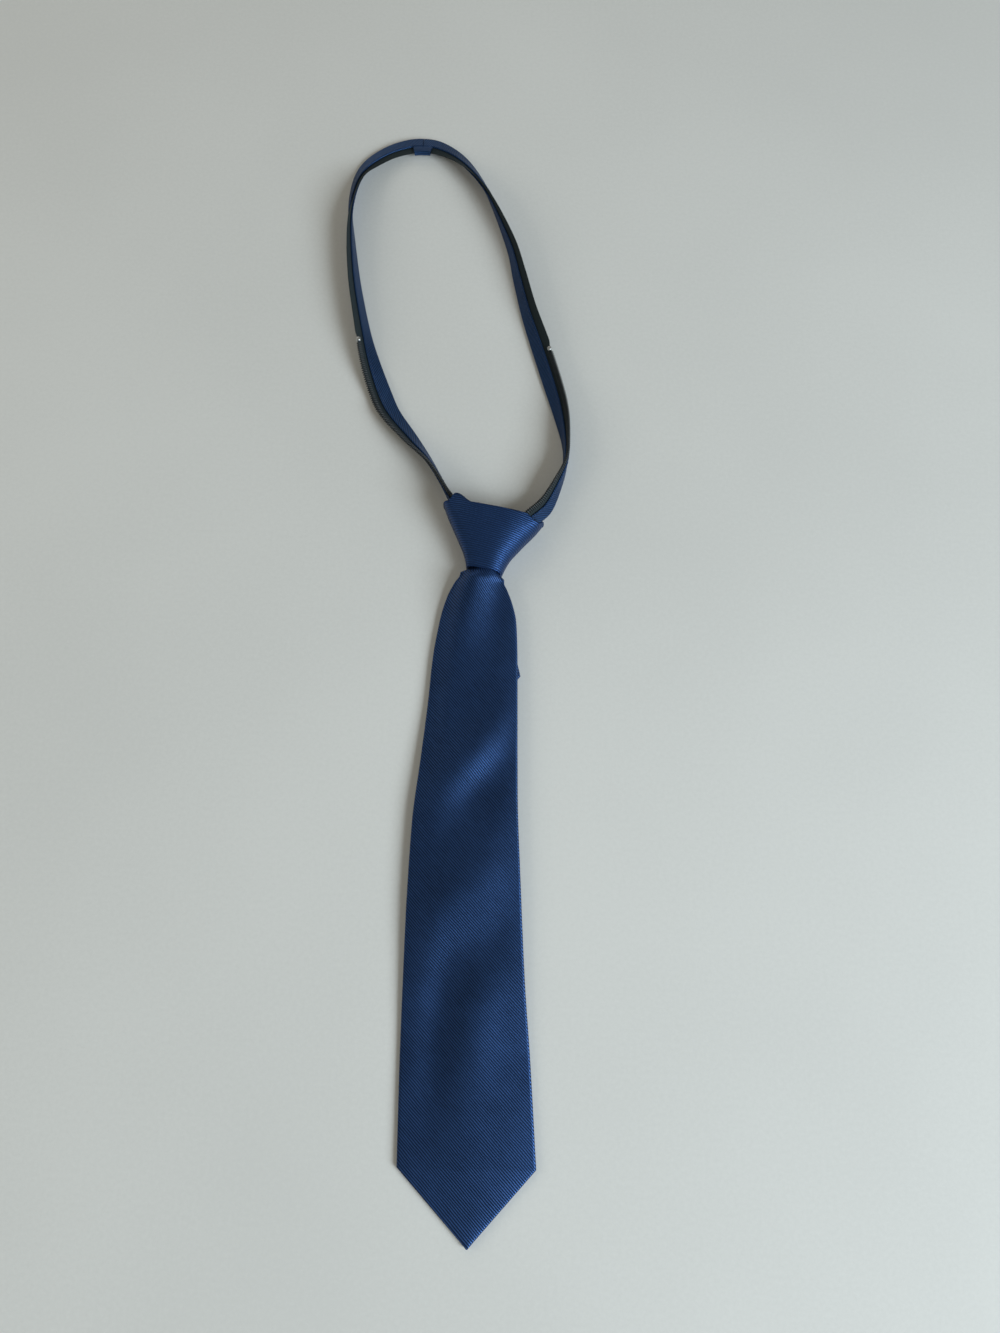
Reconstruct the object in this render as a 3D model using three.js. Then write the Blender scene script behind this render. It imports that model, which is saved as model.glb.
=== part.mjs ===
// A child's pre-tied zip necktie, lying face up: blade, pull tail, hollow knot and a neckband on a zip.
// Millimetres, +Z up out of the table, +Y from the blade's tip towards the neck loop.

import * as THREE from 'three';

// Driving sizes of the cloth and of the clearance between pieces that touch
const clearance = 0.3;
const knotWall = 1.2;
const coverWall = 1;
const tapeThickness = 0.5;

// Driving sizes of the blade, measured down from the bottom of the knot
const bladeLength = 313.6;
const bladeWidth = 62.4;
const bladePoint = 32.4;
const bladeThickness = 3.8;
const bladeEdge = 2.6;
const neckThickness = 5.8;
const neckLength = 12;
const seamGap = 0.8;
const flapDepth = 1;
const flapOpening = 82;
const hemWidth = 3.2;

// Driving sizes of the short pull tail behind the blade
const tailLength = 68.5;
const tailWidth = 25;
const tailPoint = 12.3;
const tailThickness = 2.8;
const tailTurn = 7.5;
const tailRun = 16;

// Driving sizes of the knot
const knotHeight = 31.5;
const knotWidth = 53.5;
const knotWaist = 18.7;
const knotSlack = 4.5;
const knotTurn = 10;
const leftEar = 4;
const rightDip = 2.4;
const backEar = 1.8;

// Driving sizes of the neck loop, its strap and its zip
const loopWidth = 127.2;
const loopHeight = 237;
const strapWidth = 12.5;
const coverWidth = 7.8;
const coilWidth = 3.4;
const coilThickness = 2;
const zipRun = 105.5;
const stopLength = 2.2;
const stopWall = 0.7;
const stopReach = 0.9;
const stopInset = 1.7;
const keeperLength = 12;
const keeperWall = 1;
const sliderWidth = 9;
const sliderLength = 9.5;
const sliderThickness = 7;

// Sizes that follow from the ones above
const strapThickness = 2 * coverWall + 2 * clearance + tapeThickness;
const strapRound = strapThickness / 2;
const rimDepth = strapWidth + 2 * (knotWall + clearance) + knotSlack;
const waistDepth = 2 * knotWall + 5 * clearance + tailThickness + neckThickness;
const tailLift = knotWall + 2 * clearance;
const neckLift = tailLift + tailThickness + clearance;
const tailStack = tailThickness + clearance;
const neckWidth = knotWaist - 2 * (knotWall + clearance);
const coiledTapeEdge = strapWidth - coilWidth - clearance;
const stoppedTapeEdge = strapWidth - stopInset;

// Powers of the rounded sections: 2 is an ellipse, and higher ones are boxier
const crownPower = 2.8;
const frontPowerLeft = 3.2;
const frontPowerRight = 2.4;
const backPower = 4;
const knotWidest = 0.42;

// Shares of the sizes above that shape the edges of the cloth
const neckRoll = 0.25;
const tailRoll = 0.8;
const tailPress = 0.1;
const tailRootWidth = 0.8;
const recessLimit = 0.8;
const edgeDroop = 0.5;
const swellStart = [0.003, 0.016];
const bendEnd = { blade: 0.1, tailLift: 0.15, tailTurn: 0.3 };
const earRim = 0.8;
const leftEarAcross = [0.42, 0.76, 0.79, 0.88];
const rightDipAcross = [0.5, 0.8, 0.9, 1];
const backEarAcross = [0.4, 0.55, 0.66, 0.76];

// Numbers of facets
const knotSides = 36;
const bladeFacets = 14;
const coverFacets = 5;
const coilFacets = 8;
const ringsPerRow = 3;
const stepsPerRow = 20;
const strapStep = 7.5;

// Shares of the tail, the blade's point and the knot's height at which they have a section
const tailShares = [0.07, 0.15, 0.3, 0.55];
const pointShares = [0, 0.25, 0.5, 0.7, 0.85, 0.96];
const knotShares = [0, 0.14, 0.28, 0.44, 0.62, 0.82, 0.92, 1];

// The blade in sections from the knot down to the corners of its point.
// down is a share of bladeLength, width and sway (of the middle, to the right) are shares of bladeWidth,
// thick is a share of bladeThickness, over and tail share out neckLift and tailStack as the height of the
// underside, and left and right are the shares of that height that the edges keep.
const bladeRows = [
  { down: 0.007, width: 0.368, sway: -0.013, thick: 1.66, over: 0.9, tail: 0.1, left: 0.9, right: 0.9 },
  { down: 0.014, width: 0.378, sway: -0.017, thick: 1.62, over: 0.7, tail: 0.3, left: 0.85, right: 0.92 },
  { down: 0.022, width: 0.43, sway: -0.022, thick: 1.54, over: 0.5, tail: 0.5, left: 0.8, right: 0.95 },
  { down: 0.049, width: 0.548, sway: -0.033, thick: 1.42, over: 0.1, tail: 0.9, left: 0.5, right: 1 },
  { down: 0.083, width: 0.63, sway: -0.041, thick: 1.3, over: 0, tail: 1, left: 0.3, right: 1 },
  { down: 0.15, width: 0.694, sway: -0.057, thick: 1.16, over: 0, tail: 1, left: 0.2, right: 1 },
  { down: 0.217, width: 0.721, sway: -0.065, thick: 1.12, over: 0, tail: 1, left: 0.25, right: 1 },
  { down: 0.31, width: 0.768, sway: -0.081, thick: 1.25, over: 0, tail: 0.95, left: 0.6, right: 1 },
  { down: 0.405, width: 0.825, sway: -0.097, thick: 1.25, over: 0, tail: 0.85, left: 0.9, right: 1 },
  { down: 0.525, width: 0.875, sway: -0.089, thick: 1.25, over: 0, tail: 0.7, left: 1, right: 1 },
  { down: 0.641, width: 0.913, sway: -0.073, thick: 1.2, over: 0, tail: 0.3, left: 1, right: 1 },
  { down: 0.752, width: 0.96, sway: -0.049, thick: 1.08, over: 0, tail: 0, left: 1, right: 1 },
  { down: 0.897, width: 1, sway: -0.017, thick: 1, over: 0, tail: 0, left: 1, right: 1 },
];

// Soft swells and hollows that run aslant over the blade's front.
// down and length are shares of bladeLength, across and breadth of bladeWidth, rise of bladeThickness,
// and turn is the angle of the swell's long way from the blade's own, in degrees.
const bladeSwells = [
  { down: 0.035, across: -0.1, length: 0.08, breadth: 0.14, turn: 6, rise: 0.82 },
  { down: 0.055, across: 0.2, length: 0.1, breadth: 0.14, turn: 4, rise: -0.6 },
  { down: 0.3, across: 0.03, length: 0.1, breadth: 0.17, turn: 42, rise: 0.56 },
  { down: 0.345, across: 0.21, length: 0.1, breadth: 0.17, turn: 44, rise: -0.56 },
  { down: 0.515, across: -0.08, length: 0.1, breadth: 0.2, turn: 48, rise: 0.48 },
  { down: 0.6, across: 0.12, length: 0.09, breadth: 0.19, turn: 46, rise: -0.5 },
  { down: 0.7, across: 0.1, length: 0.14, breadth: 0.18, turn: 6, rise: 0.26 },
  { down: 0.71, across: -0.22, length: 0.13, breadth: 0.16, turn: 10, rise: -0.48 },
];

// The knot in sections from its waist up to its rim.
// up is a share of knotHeight, width of the width that the knot gains over its waist, depth of the depth
// that it gains, and sway (of its middle, to the left) of knotWidth.
const knotRows = [
  { up: 0, width: 0, depth: 0, sway: 0 },
  { up: 0.14, width: 0.075, depth: 0.2, sway: 0.004 },
  { up: 0.28, width: 0.185, depth: 0.38, sway: 0.01 },
  { up: 0.44, width: 0.365, depth: 0.56, sway: 0.014 },
  { up: 0.62, width: 0.58, depth: 0.74, sway: 0.017 },
  { up: 0.82, width: 0.82, depth: 0.9, sway: 0.018 },
  { up: 1, width: 1, depth: 1, sway: 0.022 },
];

// The strap's middle line in the knot, from inside it to just past its rim.
// across is a share of half of knotWidth, up of knotHeight, lift of rimDepth,
// and lean is the angle in degrees by which the zip edge leans away from the loop's inside.
const strapInKnotRight = [
  { across: 0.43, up: 0.7, lift: 0.16, lean: -38 },
  { across: 0.56, up: 0.88, lift: 0.16, lean: -34 },
  { across: 0.69, up: 1.06, lift: 0.14, lean: -30 },
];
const strapInKnotLeft = [
  { across: -0.98, up: 1.2, lift: 0.08, lean: 2 },
  { across: -0.76, up: 1, lift: 0.15, lean: -12 },
  { across: -0.6, up: 0.84, lift: 0.16, lean: -24 },
  { across: -0.44, up: 0.68, lift: 0.16, lean: -38 },
];

// The strap's middle line round the loop, from the knot's right side to its left one.
// across is a share of loopWidth and up of loopHeight, both from the middle of the knot's rim.
const strapInLoop = [
  { across: 0.205, up: 0.03, lean: -31 },
  { across: 0.252, up: 0.081, lean: -15 },
  { across: 0.287, up: 0.135, lean: 2 },
  { across: 0.29, up: 0.19, lean: 11 },
  { across: 0.268, up: 0.265, lean: 35 },
  { across: 0.232, up: 0.339, lean: 47 },
  { across: 0.18, up: 0.432, lean: 47 },
  { across: 0.125, up: 0.526, lean: 36 },
  { across: 0.081, up: 0.622, lean: 28 },
  { across: 0.041, up: 0.708, lean: 14 },
  { across: -0.048, up: 0.83, lean: -8 },
  { across: -0.12, up: 0.9, lean: -31 },
  { across: -0.21, up: 0.96, lean: -56 },
  { across: -0.305, up: 0.995, lean: -72 },
  { across: -0.378, up: 1.003, lean: -76 },
  { across: -0.45, up: 0.998, lean: -76 },
  { across: -0.537, up: 0.977, lean: -72 },
  { across: -0.618, up: 0.939, lean: -63 },
  { across: -0.664, up: 0.89, lean: -41 },
  { across: -0.687, up: 0.816, lean: -18 },
  { across: -0.684, up: 0.734, lean: 8 },
  { across: -0.653, up: 0.601, lean: 25 },
  { across: -0.601, up: 0.466, lean: 37 },
  { across: -0.561, up: 0.384, lean: 60 },
  { across: -0.509, up: 0.306, lean: 80 },
  { across: -0.461, up: 0.253, lean: 66 },
  { across: -0.368, up: 0.187, lean: 45 },
  { across: -0.275, up: 0.122, lean: 16 },
];
const keeperRow = 14;

// Small maths
const { clamp, lerp, smoothstep, degToRad } = THREE.MathUtils;
const signedPower = (value, power) => Math.sign(value) * Math.abs(value) ** power;
const flat = (points) => points.map(([x, y]) => new THREE.Vector2(x, y));

// A point on a Hermite curve through two values with their slopes.
function hermite(first, second, firstSlope, secondSlope, t) {
  const t2 = t * t;
  const t3 = t2 * t;
  return first * (2 * t3 - 3 * t2 + 1) + firstSlope * (t3 - 2 * t2 + t)
    + second * (3 * t2 - 2 * t3) + secondSlope * (t3 - t2);
}

// Reads every column of a table between its rows, without overshooting them.
function readRows(rows, key, at) {
  const last = rows.length - 1;
  let i = 0;
  while (i < last - 1 && at > rows[i + 1][key]) i += 1;
  const [a, b] = [rows[i], rows[i + 1]];
  const span = b[key] - a[key];
  const t = clamp((at - a[key]) / span, 0, 1);
  const result = {};
  for (const name of Object.keys(a)) {
    const slope = (p, q) => (q[name] - p[name]) / (q[key] - p[key]);
    const here = slope(a, b);
    const joined = (other) => (here * other <= 0 ? 0 : (2 * here * other) / (here + other));
    const before = i > 0 ? joined(slope(rows[i - 1], a)) : here;
    const after = i + 1 < last ? joined(slope(b, rows[i + 2])) : here;
    result[name] = hermite(a[name], b[name], before * span, after * span, t);
  }
  return result;
}

// Turns a closed surface right side out and makes it a mesh.
function closedMesh(name, points, faces, material) {
  let volume = 0;
  for (const [a, b, c] of faces) {
    volume += points[a].dot(new THREE.Vector3().crossVectors(points[b], points[c]));
  }
  const index = faces.flatMap(([a, b, c]) => (volume < 0 ? [a, c, b] : [a, b, c]));
  const geometry = new THREE.BufferGeometry().setFromPoints(points);
  geometry.setIndex(index);
  geometry.computeVertexNormals();
  const mesh = new THREE.Mesh(geometry, material);
  mesh.name = name;
  return mesh;
}

// The bands of faces that join each ring to the next one, and the last to the first where it is a sleeve.
// Each four-sided face is split from its lower x in the outline to its higher x, so that the two sides of a
// twisted sheet, and the pieces that lie along it, keep their distance.
function bandFaces(rings, outline, isSleeve) {
  const count = outline.length;
  const faces = [];
  const bands = isSleeve ? rings.length : rings.length - 1;
  for (let i = 0; i < bands; i += 1) {
    const here = i * count;
    const next = ((i + 1) % rings.length) * count;
    for (let j = 0; j < count; j += 1) {
      const k = (j + 1) % count;
      if (outline[k].x >= outline[j].x) {
        faces.push([here + j, here + k, next + k], [here + j, next + k, next + j]);
      } else {
        faces.push([here + j, here + k, next + j], [here + k, next + k, next + j]);
      }
    }
  }
  return faces;
}

// A solid lofted through rings of points; outline is the flat shape that both of its ends have.
function loft(name, rings, outline, material) {
  const faces = bandFaces(rings, outline, false);
  const lastRing = (rings.length - 1) * outline.length;
  const isTurned = THREE.ShapeUtils.isClockWise(outline);
  const order = outline.map((_, i) => (isTurned ? outline.length - 1 - i : i));
  for (const cap of THREE.ShapeUtils.triangulateShape(order.map((i) => outline[i]), [])) {
    const [a, b, c] = isTurned ? cap.map((i) => order[i]).reverse() : cap;
    faces.push([c, b, a]);
    faces.push([lastRing + a, lastRing + b, lastRing + c]);
  }
  return closedMesh(name, rings.flat(), faces, material);
}

// A hollow solid, open at both ends, whose wall lies between outer and inner rings.
function sleeve(name, outerRings, innerRings, outline, material) {
  const rings = [...outerRings, ...innerRings.slice().reverse()];
  return closedMesh(name, rings.flat(), bandFaces(rings, outline, true), material);
}

// A point in the knot's own frame, which is turned from the blade's.
function knotPlace(across, up, height) {
  const turn = degToRad(knotTurn);
  return new THREE.Vector3(
    across * Math.cos(turn) + up * Math.sin(turn),
    up * Math.cos(turn) - across * Math.sin(turn),
    height,
  );
}

// The section of a long flat piece: crowned in front, with rolled edges and a flat underside.
// Its back has a recess that reaches as far as recess to each side of the middle.
function flatSection({ half, thick, edge, recess, recessDepth, under, swell }) {
  const roll = Math.min(edge / 2, half / 2);
  const level = half - roll;
  const points = [];
  for (let i = 0; i <= bladeFacets; i += 1) {
    const s = -Math.cos((Math.PI * i) / bladeFacets);
    const crown = (1 - Math.abs(s) ** crownPower) ** (1 / crownPower);
    const x = s * level;
    points.push([x, under(s) + edge + (thick - edge) * crown + swell(x) * crown]);
  }
  points.push([half, under(1) + edge / 2]);
  const lip = Math.min(recess, level * recessLimit);
  const back = [[level, 0], [lip, 0], [lip, recessDepth], [-lip, recessDepth], [-lip, 0], [-level, 0]];
  for (const [x, rise] of back) points.push([x, under(x / level) + rise]);
  points.push([-half, under(-1) + edge / 2]);
  return points;
}

// A ring of a flat section, set across a middle line at a given place and turn.
function placeSection(section, middle, turn) {
  return section.map(([x, z]) => new THREE.Vector3(
    middle.x + x * Math.cos(turn),
    middle.y + x * Math.sin(turn),
    z,
  ));
}

// How far the folded flaps stand apart behind the blade, which shows the lining above its point.
function flapGap(down, half) {
  const opened = (down - (bladeLength - bladePoint - flapOpening)) / flapOpening;
  return Math.max(seamGap / 2, Math.min(half - hemWidth, clamp(opened, 0, 1) * (bladeWidth / 2 - hemWidth)));
}

// Height of the blade's swells and hollows at a place on its front.
function swellHeight(down, x) {
  let height = 0;
  for (const swell of bladeSwells) {
    const along = down - swell.down * bladeLength;
    const aside = x - swell.across * bladeWidth;
    const turn = degToRad(swell.turn);
    const long = (along * Math.cos(turn) - aside * Math.sin(turn)) / (swell.length * bladeLength);
    const wide = (along * Math.sin(turn) + aside * Math.cos(turn)) / (swell.breadth * bladeWidth);
    height += swell.rise * bladeThickness * Math.exp(-long * long - wide * wide);
  }
  return height;
}

// One ring of the blade outside the knot.
function bladeRing(down) {
  const corner = bladeLength - bladePoint;
  const row = readRows(bladeRows, 'down', Math.min(down, corner) / bladeLength);
  const pastCorner = clamp((down - corner) / bladePoint, 0, 1);
  const half = (row.width * bladeWidth * (1 - pastCorner)) / 2;
  const sway = row.sway * bladeWidth * (1 - pastCorner);
  const lift = row.over * neckLift + row.tail * tailStack;
  const turn = -degToRad(knotTurn) * (1 - smoothstep(down, 0, bladeLength * bendEnd.blade));
  const under = (s) => lift * lerp(1, s < 0 ? row.left : row.right, smoothstep(Math.abs(s), edgeDroop, 1));
  const thin = lerp(1, bladeEdge / bladeThickness, pastCorner);
  const section = flatSection({
    half,
    thick: row.thick * bladeThickness * thin,
    edge: Math.min(bladeEdge, bladeThickness * row.thick * thin),
    recess: flapGap(down, half),
    recessDepth: flapDepth * clamp(half / hemWidth - 1, 1 - recessLimit, 1),
    under,
    swell: (x) => swellHeight(down, x) * smoothstep(down / bladeLength, ...swellStart) * (1 - pastCorner),
  });
  return placeSection(section, { x: sway, y: -down }, turn);
}

// The section of the blade's gathered neck inside the knot.
const neckSection = flatSection({
  half: neckWidth / 2,
  thick: neckThickness,
  edge: neckThickness * neckRoll,
  recess: seamGap / 2,
  recessDepth: flapDepth / 2,
  under: () => neckLift,
  swell: () => 0,
});
const neckRing = (up) => placeSection(neckSection, knotPlace(0, up, 0), -degToRad(knotTurn));

// Distances down the blade at which it has a ring: some between each two rows, and some along its point.
function bladeStations() {
  const shares = bladeRows.slice(1).flatMap((row, i) => (
    Array.from({ length: ringsPerRow }, (_, n) => lerp(bladeRows[i].down, row.down, n / ringsPerRow))));
  const stations = shares.map((share) => share * bladeLength);
  for (const share of pointShares) stations.push(bladeLength - bladePoint * (1 - share));
  return stations;
}

function makeBlade(material) {
  const rings = [neckRing(neckLength), neckRing(0), neckRing(-clearance)];
  for (const down of bladeStations()) rings.push(bladeRing(down));
  return loft('blade', rings, flat(neckSection), material);
}

// The tail runs down behind the blade from inside the knot, where it stands off the table.
function tailRing(down) {
  const corner = tailLength - tailPoint;
  const grown = lerp(neckWidth * tailRootWidth, tailWidth, clamp(down / corner, 0, 1));
  const half = Math.max((grown * clamp((tailLength - down) / tailPoint, 0, 1)) / 2, tailThickness / 4);
  const lift = tailLift * (1 - smoothstep(down, 0, tailLength * bendEnd.tailLift));
  const bend = smoothstep(down, -tailRun / 4, tailLength * bendEnd.tailTurn);
  const turn = lerp(-degToRad(knotTurn), degToRad(tailTurn), bend);
  const section = flatSection({
    half,
    thick: tailThickness,
    edge: tailThickness * tailRoll,
    recess: half / 2,
    recessDepth: tailThickness * tailPress,
    under: () => lift,
    swell: () => 0,
  });
  const middle = down < 0
    ? knotPlace(0, -down, 0)
    : new THREE.Vector3(down * Math.sin(degToRad(tailTurn)), -down * Math.cos(degToRad(tailTurn)), 0);
  return { ring: placeSection(section, middle, turn), section };
}

function makeTail(material) {
  const corner = tailLength - tailPoint;
  const downs = [-tailRun, -tailRun / 2, 0, ...tailShares.map((share) => share * tailLength)];
  downs.push(corner, corner + tailPoint / 2, tailLength - tailThickness / 4);
  const rings = downs.map((down) => tailRing(down).ring);
  return loft('pull_tail', rings, flat(tailRing(-tailRun).section), material);
}

// How far the knot's lip stands above its rim: in front an ear beside the left strap and a dip at the right
// one, and at the back an ear behind the right one.
function lipRise(s, isFront) {
  const ear = (rise, at, [start, top, topEnd, end]) => (
    rise * smoothstep(at, start, top) * (1 - smoothstep(at, topEnd, end)));
  if (!isFront) return ear(backEar, s, backEarAcross);
  return ear(leftEar, -s, leftEarAcross) - ear(rightDip, s, rightDipAcross);
}

// One ring of the knot's outer face, or of a face set in from it.
function knotRing(share, inset) {
  const row = readRows(knotRows, 'up', share);
  const outerHalf = lerp(knotWaist, knotWidth, row.width) / 2;
  const depth = lerp(waistDepth, rimDepth, row.depth);
  const widest = depth * knotWidest;
  const ring = [];
  for (let i = 0; i < knotSides; i += 1) {
    const angle = (2 * Math.PI * i) / knotSides;
    const isFront = Math.cos(angle) > 0;
    const frontPower = Math.sin(angle) > 0 ? frontPowerRight : frontPowerLeft;
    const power = 2 / (isFront ? frontPower : backPower);
    const s = signedPower(Math.sin(angle), power);
    const reach = (isFront ? depth - widest : widest) - inset;
    const height = widest + reach * signedPower(Math.cos(angle), power);
    const offSide = smoothstep(Math.abs(Math.cos(angle)), 0, 1 - earRim);
    const rise = lipRise(s, isFront) * smoothstep(share, earRim, 1) * offSide;
    ring.push(knotPlace(s * (outerHalf - inset) - row.sway * knotWidth, share * knotHeight + rise, height));
  }
  return ring;
}

function makeKnot(material) {
  return sleeve(
    'knot',
    knotShares.map((share) => knotRing(share, 0)),
    knotShares.map((share) => knotRing(share, knotWall)),
    knotRing(0, 0),
    material,
  );
}

// The whole middle line of the strap: its places, lifts and leans.
const rimMiddle = knotPlace(0, knotHeight, 0);
const inKnot = (row) => ({
  place: knotPlace((row.across * knotWidth) / 2, row.up * knotHeight, 0),
  lift: row.lift * rimDepth,
  lean: degToRad(row.lean),
});
const inLoop = (row) => ({
  place: new THREE.Vector3(rimMiddle.x + row.across * loopWidth, rimMiddle.y + row.up * loopHeight, 0),
  lift: 0,
  lean: degToRad(row.lean),
});
const route = [...strapInKnotRight.map(inKnot), ...strapInLoop.map(inLoop), ...strapInKnotLeft.map(inKnot)];
const keeperAt = strapInKnotRight.length + keeperRow;

// A value of the route at a fractional row number, on a smooth curve through its rows.
function routeValue(at, read) {
  const i = clamp(Math.floor(at), 0, route.length - 2);
  const value = (n) => read(route[clamp(n, 0, route.length - 1)]);
  const slopeHere = (value(i + 1) - value(i - 1)) / 2;
  const slopeNext = (value(i + 2) - value(i)) / 2;
  return hermite(value(i), value(i + 1), slopeHere, slopeNext, at - i);
}

function routePlace(at) {
  return new THREE.Vector3(routeValue(at, (row) => row.place.x), routeValue(at, (row) => row.place.y), 0);
}

// Distance along the route at closely set row numbers.
const routeSteps = stepsPerRow * (route.length - 1);
const routeRun = [{ at: 0, run: 0 }];
for (let i = 1; i <= routeSteps; i += 1) {
  const at = (i * (route.length - 1)) / routeSteps;
  const before = routeRun[i - 1];
  routeRun.push({ at, run: before.run + routePlace(at).distanceTo(routePlace(before.at)) });
}
const runAt = (at) => readRows(routeRun, 'at', at).run;
const atRun = (run) => readRows(routeRun, 'run', run).at;

// A point of the strap's section at a distance along the route:
// a is measured up from the folded edge towards the zip edge, and b out from the middle of the thickness.
function strapPoint(run, a, b) {
  const at = atRun(run);
  const ahead = routePlace(Math.min(at + 1 / stepsPerRow, route.length - 1));
  const behind = routePlace(Math.max(at - 1 / stepsPerRow, 0));
  const along = ahead.sub(behind).normalize();
  const outward = new THREE.Vector3(along.y, -along.x, 0);
  const lean = routeValue(at, (row) => row.lean);
  const lift = Math.max(routeValue(at, (row) => row.lift), 0);
  const height = lift + (strapWidth / 2 - strapRound) * Math.abs(Math.cos(lean)) + strapRound;
  const aside = (a - strapWidth / 2) * Math.sin(lean) + b * Math.cos(lean);
  const point = routePlace(at).addScaledVector(outward, aside);
  point.z = height + (a - strapWidth / 2) * Math.cos(lean) - b * Math.sin(lean);
  return point;
}

const strapRing = (run, outline) => outline.map(({ x, y }) => strapPoint(run, x, y));

// The section of the cover: cloth folded round the tape's lower edge and open towards the zip.
function coverOutline() {
  const points = [[coverWidth, strapRound]];
  for (let i = 0; i <= coverFacets; i += 1) {
    const angle = (Math.PI * i) / coverFacets;
    points.push([strapRound * (1 - Math.sin(angle)), strapRound * Math.cos(angle)]);
  }
  const inner = strapRound - coverWall;
  points.push([coverWidth, -strapRound], [coverWidth, -inner], [coverWall, -inner]);
  points.push([coverWall, inner], [coverWidth, inner]);
  return flat(points);
}

// Where the two halves of the strap run, and how far the zip reaches up each.
const joint = runAt(keeperAt);
const routeEnd = routeRun[routeSteps].run;
const rimRight = runAt(strapInKnotRight.length - 1);
const rimLeft = runAt(route.length - strapInKnotLeft.length);
const halves = [
  makeHalf('right', 0, joint - clearance / 2, rimRight + zipRun, 1),
  makeHalf('left', routeEnd, joint + clearance / 2, rimLeft - zipRun, -1),
];

// A half of the strap, with the distances at which all of its pieces have a ring, so that they twist alike.
function makeHalf(side, root, end, zipTop, outward) {
  const coilEnd = zipTop - 3 * outward * clearance;
  const tapeGrows = zipTop - outward * clearance;
  const stopEnd = zipTop + outward * stopLength;
  const tapeStep = stopEnd + outward * clearance;
  const tapeWide = tapeStep + outward * clearance;
  const keeperEnd = joint - (outward * keeperLength) / 2;
  const marks = [root, coilEnd, tapeGrows, zipTop, stopEnd, tapeStep, tapeWide, keeperEnd, end];
  const runs = [root];
  for (let i = 1; i < marks.length; i += 1) {
    const count = Math.ceil(Math.abs(marks[i] - marks[i - 1]) / strapStep);
    for (let n = 1; n <= count; n += 1) runs.push(lerp(marks[i - 1], marks[i], n / count));
  }
  return { side, root, coilEnd, tapeGrows, zipTop, stopEnd, tapeStep, tapeWide, keeperEnd, end, runs };
}

// The shared distances of a half between two of them.
function runsBetween(half, from, to) {
  const [low, high] = [Math.min(from, to), Math.max(from, to)];
  return half.runs.filter((run) => run >= low && run <= high);
}

function makeCover(half, material) {
  const outline = coverOutline();
  const rings = half.runs.map((run) => strapRing(run, outline));
  return loft(`neckband_cover_${half.side}`, rings, outline, material);
}

// The tape lies in the cover. It is wider at the stop, and wider still past it, where it carries no coil.
// Its outline runs as the cover's slot does and has a point at the cover's edge, so both twist alike.
function makeTape(half, material) {
  const root = coverWall + clearance;
  const outlineTo = (edge) => flat([
    [root, tapeThickness / 2],
    [coverWidth, tapeThickness / 2],
    [edge, tapeThickness / 2],
    [edge, -tapeThickness / 2],
    [coverWidth, -tapeThickness / 2],
    [root, -tapeThickness / 2],
  ]);
  const stretches = [
    [half.root, half.tapeGrows, coiledTapeEdge],
    [half.zipTop, half.tapeStep, stoppedTapeEdge],
    [half.tapeWide, half.end, strapWidth],
  ];
  const rings = stretches.flatMap(([from, to, edge]) => (
    runsBetween(half, from, to).map((run) => strapRing(run, outlineTo(edge)))));
  return loft(`zip_tape_${half.side}`, rings, outlineTo(strapWidth), material);
}

function makeCoil(half, material) {
  const outline = flat(Array.from({ length: coilFacets }, (_, i) => {
    const angle = (2 * Math.PI * i) / coilFacets;
    return [strapWidth - (coilWidth / 2) * (1 - Math.cos(angle)), (coilThickness / 2) * Math.sin(angle)];
  }));
  const rings = runsBetween(half, half.root, half.coilEnd).map((run) => strapRing(run, outline));
  return loft(`zip_coil_${half.side}`, rings, outline, material);
}

// The stop is a metal clip squeezed round the tape's edge.
function makeStop(half, material) {
  const slot = tapeThickness / 2 + clearance;
  const back = stoppedTapeEdge + clearance;
  const outline = flat([
    [back - stopReach, -slot - stopWall],
    [back + stopWall + clearance, -slot - stopWall],
    [back + stopWall + clearance, slot + stopWall],
    [back - stopReach, slot + stopWall],
    [back - stopReach, slot],
    [back, slot],
    [back, -slot],
    [back - stopReach, -slot],
  ]);
  const rings = runsBetween(half, half.zipTop, half.stopEnd).map((run) => strapRing(run, outline));
  return loft(`zip_stop_${half.side}`, rings, outline, material);
}

// The keeper is a strip of cloth folded over the tape's edge where the two halves meet, between their lips.
function makeKeeper(material) {
  const slot = tapeThickness / 2 + clearance;
  const mouth = coverWidth + clearance;
  const slotEnd = strapWidth + clearance;
  const radius = slot + keeperWall;
  const points = [[mouth, slot], [slotEnd, slot], [slotEnd, -slot], [mouth, -slot], [mouth, -radius]];
  for (let i = 0; i <= coverFacets; i += 1) {
    const angle = (Math.PI * i) / coverFacets;
    points.push([
      slotEnd + keeperWall - radius * (1 - Math.sin(angle)),
      -radius * Math.cos(angle),
    ]);
  }
  points.push([mouth, radius]);
  const outline = flat(points);
  const [right, left] = halves.map((half) => runsBetween(half, half.keeperEnd, half.end));
  const rings = [...right, ...left.reverse()].map((run) => strapRing(run, outline));
  return loft('keeper_loop', rings, outline, material);
}

// The slider sits hidden on the floor of the knot, past the ends of the neck and the tail.
function makeSlider(material) {
  const geometry = new THREE.BoxGeometry(sliderWidth, sliderLength, sliderThickness);
  const mesh = new THREE.Mesh(geometry, material);
  mesh.name = 'zip_slider';
  mesh.position.copy(knotPlace(
    0,
    tailRun + clearance + sliderLength / 2,
    knotWall + clearance + sliderThickness / 2,
  ));
  mesh.rotation.z = -degToRad(knotTurn);
  return mesh;
}

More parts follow.
